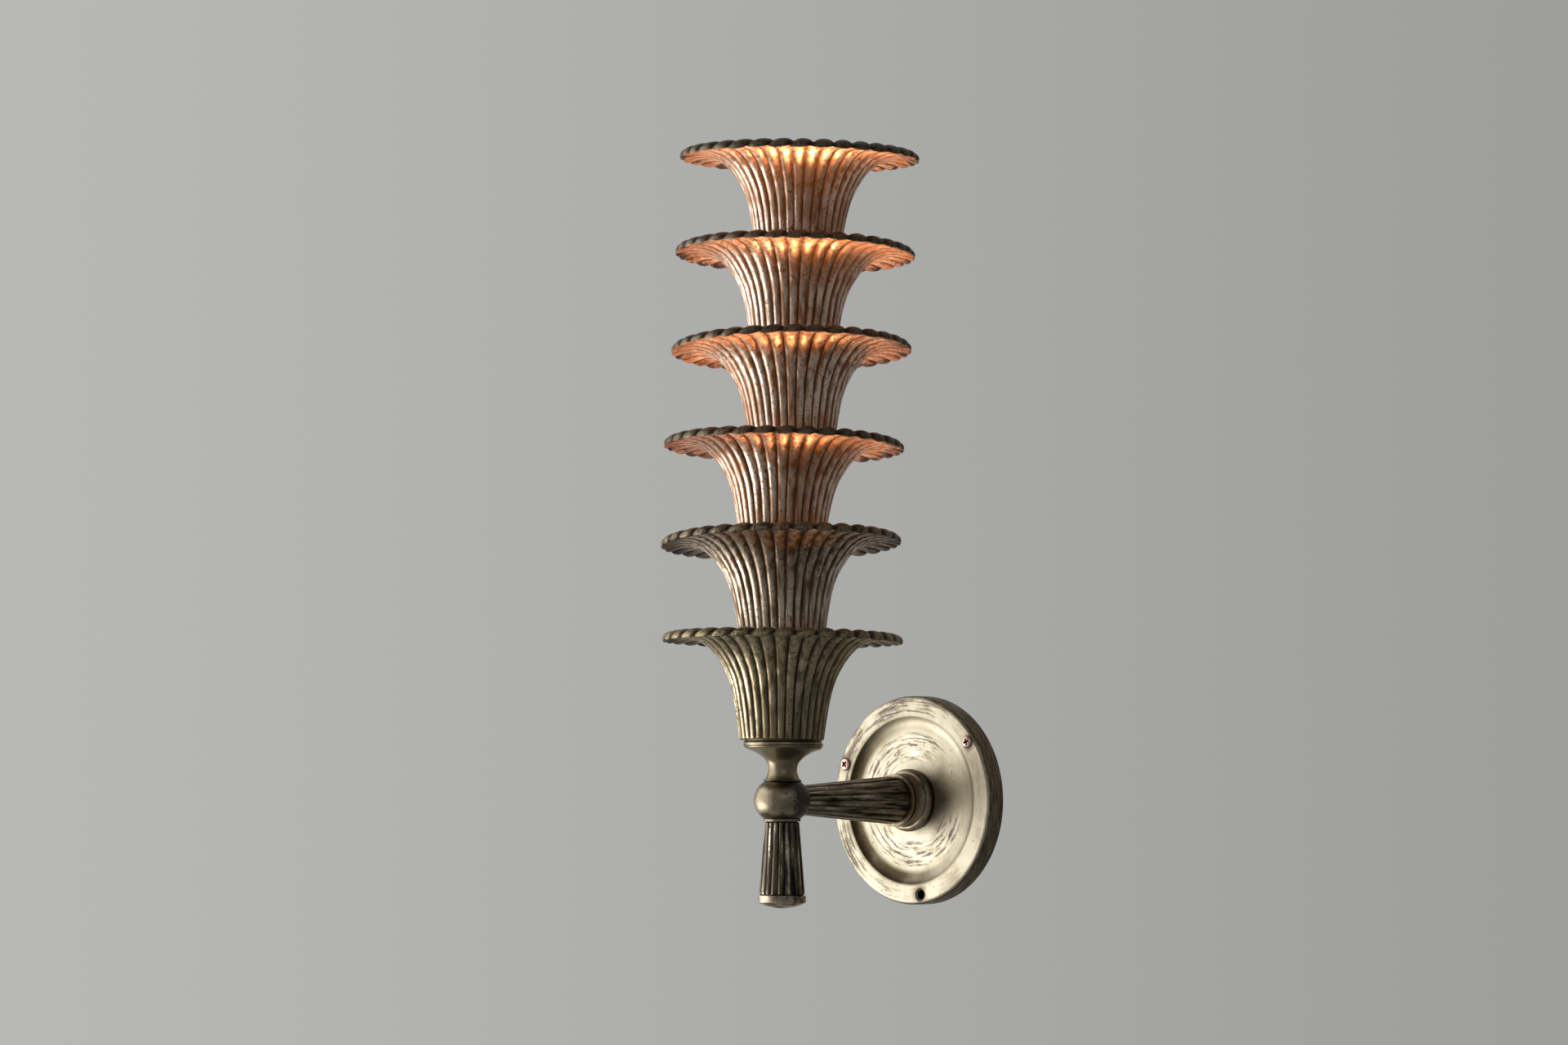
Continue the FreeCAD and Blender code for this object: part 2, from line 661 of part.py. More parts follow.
def make_base_disc():
    """Disc inside the lowest cup that takes the stay rods and is clamped by the stem nut."""
    edge = CUP_BORE_FLAT + " - base_disc_gap"
    disc = turned(
        "base_disc",
        [
            (TUBE_HOLE, "0"),
            (edge, "0"),
            (edge, "base_disc_thickness"),
            (TUBE_HOLE, "base_disc_thickness"),
        ],
    )
    hole = "rod_radius + braze_gap"
    notch = [
        ("0", "0"),
        (hole, "0"),
        (hole, "base_disc_thickness"),
        ("0", "base_disc_thickness"),
    ]
    spun_round(disc, "Groove", "rod_seat", ROD_CIRCLE, "rod_turn", "rod_count", notch)
    return up_stack(disc, CUP_BASE)


def make_stem_nut():
    """Nut that clamps base disc, seat disc and neck down on the ball."""
    return up_stack(thin_nut("stem_nut"), STEM_NUT)


# ---------------------------------------------------------------- cups and stay rods


# corners of one reed of a cup: share of the pitch, share of the groove's depth
CUP_REED = ((0.0, 1.0), (0.26, 0.0), (0.74, 0.0))


def star_loop(radius, height, depth, turn=0.0):
    """Corners of a cup's section: broad reeds with narrow grooves, turned by a share of a reed."""
    flutes = int(value("cup_flutes"))
    loop = []
    for i in range(flutes):
        for share, sunk in CUP_REED:
            angle = 2 * math.pi * (i + share + turn) / flutes
            reach = radius * (1 - depth * sunk)
            loop.append(FreeCAD.Vector(reach * math.cos(angle), reach * math.sin(angle), height))
    return loop


def plain_loop(radius, height):
    """Corners of a plain section, one behind each groove."""
    return star_loop(radius, height, 0)[:: len(CUP_REED)]


def fan_band(star, plain):
    """Faces between a reeded section and a plain one."""
    faces = []
    corners = len(CUP_REED)
    for i in range(len(plain)):
        k = (i + 1) % len(plain)
        groove, near, far = star[corners * i : corners * (i + 1)]
        faces.append(facet(groove, near, plain[i]))
        faces.append(facet(near, far, plain[i]))
        faces.append(facet(far, plain[k], plain[i]))
        faces.append(facet(far, star[corners * k], plain[k]))
    return faces


def fluted_cup_shape():
    """Cast trumpet cup: reeded outside, lip turned down to a rim of leaning lobes, plain inside."""
    flute, lobe, slant = value("flute_depth"), value("lobe_depth"), value("lobe_slant")
    outside = [
        ("cup_base_radius", "0", flute, 0),
        ("cup_shank_radius", "cup_shank_height", flute, 0),
        ("cup_flare_radius", "cup_flare_height", flute, 0),
        ("cup_throat_radius", "cup_throat_height", flute, 0),
        ("cup_turn_radius", "cup_turn_height", lobe, 0),
        ("cup_rim_radius - rim_draw", "cup_rim_height", lobe, 0),
        ("cup_rim_radius", "cup_rim_height + rim_edge", lobe, -slant / 2),
        ("lip_crest_radius", "lip_crest_height", lobe, -slant),
    ]
    inner = "%s * (1 - flute_depth) - cup_wall"
    inside = [
        (inner % "cup_throat_radius", "cup_throat_height + cup_wall"),
        (inner % "cup_flare_radius", "cup_flare_height + cup_wall / 2"),
        (inner % "cup_shank_radius", "cup_shank_height"),
        ("cup_bore", "cup_bore_height"),
        ("cup_bore", "0"),
    ]
    stars = [star_loop(value(r), value(z), depth, turn) for r, z, depth, turn in outside]
    rings = [plain_loop(value(r), value(z)) for r, z in inside]
    faces = []
    for i in range(len(stars) - 1):
        faces += band(stars[i], stars[i + 1], outside[i][2:] == outside[i + 1][2:])
    faces += fan_band(stars[-1], rings[0])
    for upper, lower in zip(rings, rings[1:]):
        faces += band(upper, lower, True)
    faces += fan_band(stars[0], rings[-1])
    return closed_solid(faces)


def make_cups():
    """Six like castings, one pitch apart, numbered from the top as they come off."""
    shape = fluted_cup_shape()
    total = int(value("cup_count"))
    cups = []
    for step in range(total):
        cup = plain_piece("cup_%d" % (total - step), shape)
        cups.append(up_stack(cup, CUP_BASE + " + %d * cup_pitch" % step))
    return cups


def make_stay_rods():
    """Upright rods, screwed into the base disc and brazed inside the bore of every cup."""
    length = "(cup_count - 1) * cup_pitch + cup_bore_height"
    rods = []
    for i in range(int(value("rod_count"))):
        rod = cylinder("stay_rod_%d" % (i + 1), "rod_radius", length)
        angle = "(rod_turn + %d * 360 / rod_count)" % i
        for axis, share in (("x", "cos"), ("y", "sin")):
            offset = "%s * %s%s" % (ROD_CIRCLE, share, angle)
            rod.setExpression("Placement.Base." + axis, bound(offset))
        rods.append(rod)
    group = doc.addObject("Part::Compound", "stay_rods")
    group.Label = "stay_rods"
    group.Links = rods
    return up_stack(group, CUP_BASE)


# ---------------------------------------------------------------- lampholder, lamp and flex


def make_holder_cap():
    """Metal cap of the lampholder, screwed on the neck tube."""
    inner = "holder_radius - holder_wall"
    cap = turned(
        "holder_cap",
        [
            (TUBE_HOLE, "0"),
            ("holder_radius", "0"),
            ("holder_radius", "holder_cap_height"),
            (inner, "holder_cap_height"),
            (inner, "holder_floor"),
            (TUBE_HOLE, "holder_floor"),
        ],
    )
    return up_stack(cap, HOLDER)


def make_holder_contact():
    """Insulating block in the cap, with the sprung centre contact standing on it."""
    edge = "holder_radius - holder_wall - contact_gap"
    block = turned(
        "holder_contact",
        [
            ("0", "0"),
            (edge, "0"),
            (edge, "contact_thickness"),
            ("contact_spring_radius", "contact_thickness"),
            ("contact_spring_radius", "contact_thickness + contact_spring"),
            ("0", "contact_thickness + contact_spring"),
        ],
    )
    return up_stack(block, CONTACT)


def make_holder_sleeve():
    """Sleeve of the lampholder that the lamp screws into."""
    return up_stack(tube("holder_sleeve", "holder_radius", "sleeve_bore", "sleeve_height"), SLEEVE)


def make_lamp_cap():
    """Screw cap of the lamp, with its contact button."""
    inner = "lamp_cap_radius - lamp_cap_wall"
    cap = turned(
        "lamp_cap",
        [
            ("0", "0"),
            ("lamp_button_radius", "0"),
            ("lamp_button_radius", "lamp_button"),
            ("lamp_cap_radius", "lamp_cap_cone"),
            ("lamp_cap_radius", "lamp_cap_length"),
            (inner, "lamp_cap_length"),
            (inner, "lamp_cap_floor"),
            ("0", "lamp_cap_floor"),
        ],
    )
    return up_stack(cap, LAMP)


def make_lamp_glass():
    """Long glass tube with a round end, open at its neck, which sits in the cap."""
    shoulder = "lamp_cap_length + glass_shoulder"
    inner = "lamp_radius - glass_wall"
    inner_neck = "glass_neck_radius - glass_wall"
    dome_foot = "lamp_length - lamp_radius"
    glass = turned(
        "lamp_glass",
        [
            (inner_neck, "lamp_cap_length - glass_neck_length"),
            ("glass_neck_radius", "lamp_cap_length - glass_neck_length"),
            ("glass_neck_radius", "lamp_cap_length"),
            ("lamp_radius", shoulder),
            ("lamp_radius", dome_foot),
            ("0", "lamp_length", "-lamp_radius"),
            ("0", "lamp_length - glass_wall"),
            (inner, dome_foot, "(%s)" % inner),
            (inner, shoulder),
            (inner_neck, "lamp_cap_length"),
        ],
    )
    return up_stack(glass, LAMP)


def make_lamp_stem():
    """Glass stem that stands in the cap and carries the filament."""
    return up_stack(
        named(cylinder("lamp_stem", "lamp_stem_radius", "lamp_stem_length")),
        LAMP + " + lamp_cap_floor",
    )


def make_lamp_filament():
    """Four light-giving rods between two carrier discs."""
    reach = "lamp_length - filament_end_gap - lamp_cap_floor - lamp_stem_length"
    disc = "filament_circle + 2 * filament_radius"
    parts = [
        cylinder("filament_foot", disc, "carrier_thickness"),
        cylinder("filament_head", disc, "carrier_thickness", reach + " - carrier_thickness"),
    ]
    for i in range(int(value("filament_count"))):
        rod = cylinder("filament_rod_%d" % (i + 1), "filament_radius", reach)
        angle = "(%d * 360 / filament_count)" % i
        for axis, share in (("x", "cos"), ("y", "sin")):
            offset = "filament_circle * %s%s" % (share, angle)
            rod.setExpression("Placement.Base." + axis, bound(offset))
        parts.append(rod)
    filament = doc.addObject("Part::MultiFuse", "lamp_filament")
    filament.Label = "lamp_filament"
    filament.Shapes = parts
    return up_stack(filament, LAMP + " + lamp_cap_floor + lamp_stem_length")


def make_flex():
    """Flex from the contact block down the neck tube, round in the ball and out along the arm."""
    lean = math.radians(value("stack_lean"))
    centre = FreeCAD.Vector(0, -value(BALL_REACH), 0)
    up = FreeCAD.Vector(0, math.sin(lean), math.cos(lean))
    back = FreeCAD.Vector(0, 1, 0)
    half = up.getAngle(back) / 2
    bend = value("flex_bend")
    middle = (up + back).normalize()
    turn = centre + middle * (bend / math.sin(half) - bend)
    leave = centre + up * (bend / math.tan(half))
    join = centre + back * (bend / math.tan(half))
    top = centre + up * value(CONTACT)
    tail = FreeCAD.Vector(0, -value(ARM_TUBE_START), 0)
    path = Part.Wire(
        [
            Part.LineSegment(top, leave).toShape(),
            Part.Arc(leave, turn, join).toShape(),
            Part.LineSegment(join, tail).toShape(),
        ]
    )
    circle = Part.Wire(Part.makeCircle(value("flex_radius"), top, up))
    flex = path.makePipeShell([circle], True, False)
    return plain_piece("inner_flex", flex)


# ---------------------------------------------------------------- pendant


def make_pendant_ring():
    """Thin ring between the ball and the drop."""
    ring = tube("pendant_ring", "pendant_ring_radius", STUD_HOLE, "pendant_ring_thickness")
    return below_ball(ring, "ball_half_height")


def make_pendant():
    """Reeded drop that hangs below the ball and widens downwards."""
    drop = reeded_drop(
        "pendant",
        "pendant_top_radius",
        "pendant_end_radius",
        "pendant_length",
        "pendant_reeds",
        STUD_HOLE,
    )
    return below_ball(drop, PENDANT_TOP)


def make_pendant_cap():
    """Cap with a shallow dome that closes the drop and takes the end of the stud."""
    dome = "(pendant_cap_radius ^ 2 + pendant_dome ^ 2) / (2 * pendant_dome)"
    cap = turned(
        "pendant_cap",
        [
            ("0", "stud_grip"),
            (STUD_HOLE, "stud_grip"),
            (STUD_HOLE, "0"),
            ("pendant_cap_radius", "0"),
            ("pendant_cap_radius", "pendant_cap_band"),
            ("0", "pendant_cap_band + pendant_dome", "-" + dome),
        ],
    )
    return below_ball(cap, PENDANT_END)


def make_pendant_stud():
    """Stud from the ball down through ring and drop into the cap."""
    start = "ball_half_height - tube_grip"
    length = PENDANT_END + " + stud_grip - (%s)" % start
    return below_ball(named(cylinder("pendant_stud", "stud_radius", length)), start)


# ---------------------------------------------------------------- build, check and write

PIECES = [
    make_backplate(),
    make_arm_collar(),
    make_arm(),
    make_arm_tube(),
    make_back_washer(),
    make_back_nut(),
    make_ball_hub(),
    make_neck(),
    make_neck_tube(),
    make_seat_disc(),
    make_base_disc(),
    make_stem_nut(),
    *make_cups(),
    make_stay_rods(),
    make_holder_cap(),
    make_holder_contact(),
    make_holder_sleeve(),
    make_lamp_cap(),
    make_lamp_glass(),
    make_lamp_stem(),
    make_lamp_filament(),
    make_flex(),
    make_pendant_ring(),
    make_pendant(),
    make_pendant_cap(),
    make_pendant_stud(),
]


def check_and_write(pieces):
    doc.recompute()
    for thing in doc.Objects:
        if "Invalid" in thing.State or "Error" in thing.State:
            raise RuntimeError("%s did not recompute: %s" % (thing.Name, thing.State))
    for piece in pieces:
        if piece.Shape.isNull() or not piece.Shape.isValid():
            raise RuntimeError(piece.Label + " has no valid shape")
    os.makedirs("parts", exist_ok=True)
    for piece in pieces:
        solids = piece.Shape.Solids
        shape = solids[0] if len(solids) == 1 else Part.makeCompound(solids)
        shape.exportStep(os.path.join("parts", piece.Label + ".step"))
        volume = sum(solid.Volume for solid in solids)
        print("%-16s solids %d  volume %10.1f mm3" % (piece.Label, len(solids), volume))


check_and_write(PIECES)
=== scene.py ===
"""Shell wall sconce: six fluted, silvered trumpet cups on a reeded arm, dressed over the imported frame."""

import functools
import math

import bpy
import numpy as np
from mathutils import Matrix, Vector


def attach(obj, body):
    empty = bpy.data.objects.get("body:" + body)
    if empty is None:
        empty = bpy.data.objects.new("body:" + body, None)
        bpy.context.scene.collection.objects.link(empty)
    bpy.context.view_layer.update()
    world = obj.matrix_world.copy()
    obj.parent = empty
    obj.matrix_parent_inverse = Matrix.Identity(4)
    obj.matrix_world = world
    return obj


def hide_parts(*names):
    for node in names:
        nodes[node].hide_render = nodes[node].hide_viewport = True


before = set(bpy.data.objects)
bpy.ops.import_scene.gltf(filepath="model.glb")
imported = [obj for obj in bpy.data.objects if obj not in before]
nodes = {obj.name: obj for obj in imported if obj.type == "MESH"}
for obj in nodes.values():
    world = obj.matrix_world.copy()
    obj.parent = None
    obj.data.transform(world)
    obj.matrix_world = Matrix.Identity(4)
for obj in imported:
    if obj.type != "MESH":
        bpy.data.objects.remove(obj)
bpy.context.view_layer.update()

MM = 0.001

# Places and counts, in millimetres and degrees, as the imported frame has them.
BALL_OUT = 124.442
STACK_LEAN = 1.7
FIRST_CUP = 34.8
CUP_PITCH = 56.5
CUP_RIM_HEIGHT = 55
FLUTES = 34
REEDS = 18
WALL_SCREW_CIRCLE = 56.5
WALL_SCREW_TURN = 37.5
WALL_SCREW_STEP = 120
WALL_SCREW_HOLES = 3

# The view: the camera stands level with the ball and looks in from the right of the wall's normal.
VIEW_TURN = math.radians(43)
VIEW_PITCH = math.radians(2.94)
VIEW_DISTANCE = 3.1416
VIEW_SIDESTEP = 0.0011
LENS = 124.2
SENSOR = 36
RIGHT = Vector((math.cos(VIEW_TURN), math.sin(VIEW_TURN), 0))
AHEAD = Vector((-math.sin(VIEW_TURN), math.cos(VIEW_TURN), 0))
UP = Vector((0, 0, 1))
BALL = Vector((0, -BALL_OUT * MM, 0))

# How each cup stands on its rods, as hand fitting leaves them:
# (cups below it, tilt away from the view, roll to its right, step to its right in mm)
CUP_STANCE = {
    "cup_1": (5, -1.6, -0.25, 2.6),
    "cup_2": (4, 1.9, 0.0, 1.2),
    "cup_3": (3, 3.8, -1.6, 0.2),
    "cup_4": (2, 2.4, 0.0, -3.1),
    "cup_5": (1, 3.6, -2.0, -3.6),
    "cup_6": (0, 0.0, -0.5, -1.6),
}


# ---------------------------------------------------------------- places


def stack_place(height):
    lean = Matrix.Rotation(-math.radians(STACK_LEAN), 4, "X")
    return Matrix.Translation(BALL) @ lean @ Matrix.Translation((0, 0, height * MM))


def out_of_wall():
    return Matrix.Rotation(math.radians(90), 4, "X")


def drop_place():
    return Matrix.Translation(BALL) @ Matrix.Rotation(math.radians(180), 4, "X")


def stance(name):
    """Where a cup stands: on the stack's line, then tilted, rolled and shifted about its rim's centre."""
    step, tilt, roll, side = CUP_STANCE[name]
    place = stack_place(FIRST_CUP + step * CUP_PITCH)
    centre = place @ Vector((0, 0, CUP_RIM_HEIGHT * MM))
    turn = Matrix.Rotation(math.radians(tilt), 4, -RIGHT) @ Matrix.Rotation(math.radians(roll), 4, AHEAD)
    about = Matrix.Translation(centre) @ turn @ Matrix.Translation(-centre)
    return Matrix.Translation(RIGHT * side * MM) @ about @ place


# ---------------------------------------------------------------- meshes

# A reed is this share of a half circle wide, so that its sides don't stand upright.
REED_SHARE = 0.975
# A groove this deep counts as a full one where the finishes read it.
FULL_GROOVE = 0.5
# The radii at which a rim's wandering and a flare begin, and how much further out each is full.
WANDER_FROM, WANDER_OVER = 30, 40
FLARE_FROM, FLARE_OVER = 36, 34


def smooth_line(points, per_span):
    """Stations on a smooth line through the points, whose first two values are radius and height."""
    points = np.array(points, float)
    ends = np.vstack([2 * points[0] - points[1], points, 2 * points[-1] - points[-2]])
    line = []
    for a, b, c, d in zip(ends, ends[1:], ends[2:], ends[3:]):
        slope, bend, twist = c - a, 2 * a - 5 * b + 4 * c - d, 3 * b - a - 3 * c + d
        for t in np.arange(per_span) / per_span:
            line.append(0.5 * (2 * b + slope * t + bend * t**2 + twist * t**3))
    line.append(points[-1])
    return np.array(line)


def bulge(phase):
    """How far below its crest a round reed lies, 0 on the crest and 1 in the groove."""
    across = np.abs(2 * (phase % 1.0) - 1) * REED_SHARE
    return (1 - np.sqrt(1 - across**2)) / (1 - math.sqrt(1 - REED_SHARE**2))


def make_object(name, points, faces, place):
    mesh = bpy.data.meshes.new(name)
    mesh.from_pydata(points.tolist(), [], faces)
    mesh.transform(place)
    mesh.polygons.foreach_set("use_smooth", [True] * len(mesh.polygons))
    mesh.validate()
    mesh.update()
    made = bpy.data.objects.new(name, mesh)
    bpy.context.scene.collection.objects.link(made)
    return made


def paint(made, name, values):
    """A value for each point that the material reads."""
    layer = made.data.attributes.new(name, "FLOAT", "POINT")
    layer.data.foreach_set("value", np.asarray(values, np.float32).ravel())


def ring_faces(rows, columns):
    """Four-sided faces between rings of points, the last ring joined to the first."""
    row, column = np.mgrid[0:rows, 0:columns]
    start, end = row * columns, (row + 1) % rows * columns
    beside = (column + 1) % columns
    return np.stack([start + column, start + beside, end + beside, end + column], -1).reshape(-1, 4).tolist()


def fluted_ring(name, stations, count, per_flute, seed, place, wobble=0.0, unevenness=0.0):
    """A closed ring swept round +Z. A station is (radius, height, groove depth, groove shift, tone)."""
    rng = np.random.default_rng(seed)
    stations = np.asarray(stations, float)
    rows, columns = len(stations) - 1, count * per_flute
    turn = np.arange(columns) / columns
    flute = turn * count
    # every flute has its own width and depth, and the rim wanders up and down
    shift = unevenness * rng.uniform(-1, 1, count)
    depth = 1 + 2.5 * unevenness * rng.uniform(-1, 1, count)
    near = np.clip(1 - np.abs(flute - np.round(flute)) * 2, 0, 1)
    flute_shift = shift[np.floor(flute + 0.5).astype(int) % count] * near
    flute_depth = 0.75 + 0.25 * depth[np.floor(flute).astype(int) % count]
    swell = sum(
        rng.uniform(-1, 1) * np.cos(2 * math.pi * (k * turn + rng.uniform())) / k for k in (2, 3, 5, 7)
    )
    tangent = np.gradient(stations[:, :2], axis=0)
    tangent[0] = tangent[-1] = stations[1, :2] - stations[-2, :2]
    out = np.column_stack([tangent[:, 1], -tangent[:, 0]])
    out /= np.linalg.norm(out, axis=1)[:, None] + 1e-9
    r, z, groove, slant, tone = (stations[:, i][:, None] for i in range(5))
    low = bulge(flute[None, :] + flute_shift[None, :] + slant)
    drop = groove * low * flute_depth[None, :]
    radius = r - drop * out[:, 0][:, None]
    height = z - drop * out[:, 1][:, None]
    height = height + wobble * np.clip((r - WANDER_FROM) / WANDER_OVER, 0, 1) * swell[None, :]
    angle = 2 * math.pi * turn[None, :]
    points = np.stack([radius * np.cos(angle), radius * np.sin(angle), height], -1)[:-1] * MM
    made = make_object(name, points.reshape(-1, 3), ring_faces(rows, columns), place)
    relief = 1 - low * np.clip(groove / FULL_GROOVE, 0, 1)
    flare = np.clip((r - FLARE_FROM) / FLARE_OVER, 0, 1)
    for layer, values in (("relief", relief), ("flare", flare), ("tone", tone)):
        paint(made, layer, np.broadcast_to(values, relief.shape)[:-1])
    return made


# A cup's section, from the foot up the outside, over the rim and down the inside:
# (radius, height, groove depth, groove shift, tone), where tone is 0 on the body, 1 on the rim and -1 inside.
CUP_LIP = (65.0, 57.6, 1.5, 0, 0)
CUP_CREST = (58.2, 62.0, 1.4, -0.32, 0.9)
CUP_OUTSIDE = [
    (22.6, 0.0, 0.0, 0, 0),
    (24.0, 0.1, 0.2, 0, 0),
    (24.8, 1.0, 0.9, 0, 0),
    (25.3, 4.5, 1.2, 0, 0),
    (26.6, 14.0, 1.3, 0, 0),
    (28.9, 26.5, 1.35, 0, 0),
    (32.1, 36.8, 1.4, 0, 0),
    (36.8, 45.5, 1.5, 0, 0),
    (41.9, 52.0, 1.5, 0, 0),
    (47.8, 56.6, 1.4, 0, 0),
    (54.5, 58.7, 0.85, 0, 0),
    (60.0, 58.7, 0.95, 0, 0),
    CUP_LIP,
]
CUP_RIM = [
    CUP_LIP,
    (68.4, 56.6, 1.8, -0.02, 0),
    (69.8, 56.8, 1.7, -0.04, 0.4),
    (70.2, 58.0, 1.8, -0.07, 1),
    (69.6, 59.8, 2.0, -0.12, 1),
    (67.4, 61.6, 2.5, -0.18, 1),
    (63.2, 62.6, 2.6, -0.25, 1),
    CUP_CREST,
]
CUP_INSIDE = [
    CUP_CREST,
    (54.0, 61.2, 0.7, -0.32, -0.3),
    (46.5, 59.0, 0.6, -0.32, -1),
    (40.2, 54.2, 0.5, -0.32, -1),
    (34.8, 47.2, 0.4, -0.32, -1),
    (30.0, 38.0, 0.3, -0.32, -1),
    (26.4, 26.0, 0.2, -0.32, -1),
    (23.6, 15.0, 0.1, -0.32, -1),
    (22.05, 9.0, 0.0, -0.32, -1),
    (22.0, 1.2, 0.0, -0.32, -1),
    (22.6, 0.0, 0.0, -0.32, 0),
]

# The neck's section as (radius, height): a thin foot on the ball, a waist and a flare with a sharp edge.
NECK_BORE = 5.6
NECK_FOOT = [(NECK_BORE, 10.9), (10.9, 10.9), (11.15, 11.15), (11.15, 11.55), (10.9, 11.8), (10.5, 11.82)]
NECK_WAIST = [
    (10.4, 11.9), (9.4, 13.6), (8.6, 15.8), (8.35, 18.0), (8.8, 20.6), (10.3, 23.2), (13.4, 25.9),
    (17.4, 28.2), (21.9, 29.9),
]
NECK_TOP = [(22.35, 30.15), (22.4, 30.5), (22.3, 30.8), (NECK_BORE, 30.8), NECK_FOOT[0]]

# In a reeded taper: the grooves' depth, how far its flat ends lie below the grooves, the gap between these
# ends and the reeds' tips, and the counts of steps in a tip and between the tips.
REED_DEPTH = 1.15
REED_LAND = 0.6
REED_GAP = 0.15
TIP_STEPS = 6
TAPER_STEPS = 14


def cup_stations():
    outside = smooth_line(CUP_OUTSIDE, 3)
    rim = smooth_line(CUP_RIM, 3)
    inside = smooth_line(CUP_INSIDE, 2)
    return np.vstack([outside[:-1], rim[:-1], inside])


def neck_stations():
    """The neck's section, without grooves."""
    line = np.vstack([NECK_FOOT, smooth_line(NECK_WAIST, 6), NECK_TOP])
    return np.column_stack([line, np.zeros((len(line), 3))])


def reeded_stations(start, end, r_start, r_end, bore, tip_start, tip_end):
    """A reeded taper with rounded reed ends, from height start to end, with a bore."""

    def ridge(h):
        return r_start + (r_end - r_start) * (h - start) / (end - start)

    def land(h):
        return (ridge(h) - REED_DEPTH - REED_LAND, h, 0, 0, 0)

    def tip(length, at, sign):
        """Stations from a reed's end to its full height."""
        steps = []
        for k in range(TIP_STEPS + 1):
            quarter = math.pi / 2 * k / TIP_STEPS
            h = at + sign * (length * (1 - math.cos(quarter)) + REED_GAP)
            rise = math.sin(quarter)
            steps.append((ridge(h) - REED_DEPTH * (1 - rise), h, REED_DEPTH * rise, 0, 0))
        return steps

    first, last = tip(tip_start, start, 1), tip(tip_end, end, -1)[::-1]
    low, high = first[-1][1], last[0][1]
    heights = [low + (high - low) * k / TAPER_STEPS for k in range(1, TAPER_STEPS)]
    body = [(ridge(h), h, REED_DEPTH, 0, 0) for h in heights]
    inner_start, inner_end = (bore, start, 0, 0, 0), (bore, end, 0, 0, 0)
    return [inner_start, land(start)] + first + body + last + [land(end), inner_end, inner_start]


# ---------------------------------------------------------------- materials


class Graph:
    """A node tree and the few kinds of node that feed its shaders."""

    def __init__(self, tree):
        self.tree = tree
        self.tree.nodes.clear()

    def feed(self, socket, source):
        """Gives a socket a link, a number or a colour."""
        if isinstance(source, bpy.types.NodeSocket):
            self.tree.links.new(source, socket)
        else:
            socket.default_value = (*source, 1) if isinstance(source, tuple) else source

    def math(self, how, a, b=0.0):
        node = self.tree.nodes.new("ShaderNodeMath")
        node.operation = how
        self.feed(node.inputs[0], a)
        self.feed(node.inputs[1], b)
        return node.outputs[0]

    def plus(self, *terms):
        return functools.reduce(lambda a, b: self.math("ADD", a, b), terms)

    def minus(self, a, b):
        return self.math("SUBTRACT", a, b)

    def times(self, *terms):
        return functools.reduce(lambda a, b: self.math("MULTIPLY", a, b), terms)

    def most(self, *terms):
        return functools.reduce(lambda a, b: self.math("MAXIMUM", a, b), terms)

    def weigh(self, *pairs):
        """The sum of values, each times its weight."""
        return self.plus(*(self.times(value, weight) for value, weight in pairs))

    def swing(self, value, amount):
        """A value of 0 to 1 as one that swings to both sides of 0."""
        return self.times(self.minus(value, 0.5), amount)

    def ramp(self, value, low, high, out_low=0.0, out_high=1.0):
        node = self.tree.nodes.new("ShaderNodeMapRange")
        node.interpolation_type = "SMOOTHSTEP"
        self.feed(node.inputs["Value"], value)
        limits = {"From Min": low, "From Max": high, "To Min": out_low, "To Max": out_high}
        for name, number in limits.items():
            self.feed(node.inputs[name], number)
        return node.outputs["Result"]

    def band(self, value, start, full, fade, end):
        """1 from full to fade, and 0 before start and after end."""
        return self.times(self.ramp(value, start, full), self.ramp(value, end, fade))

    def mix(self, share, a, b):
        node = self.tree.nodes.new("ShaderNodeMix")
        node.data_type = "RGBA"
        self.feed(node.inputs["Factor"], share)
        self.feed(node.inputs["A"], a)
        self.feed(node.inputs["B"], b)
        return node.outputs["Result"]


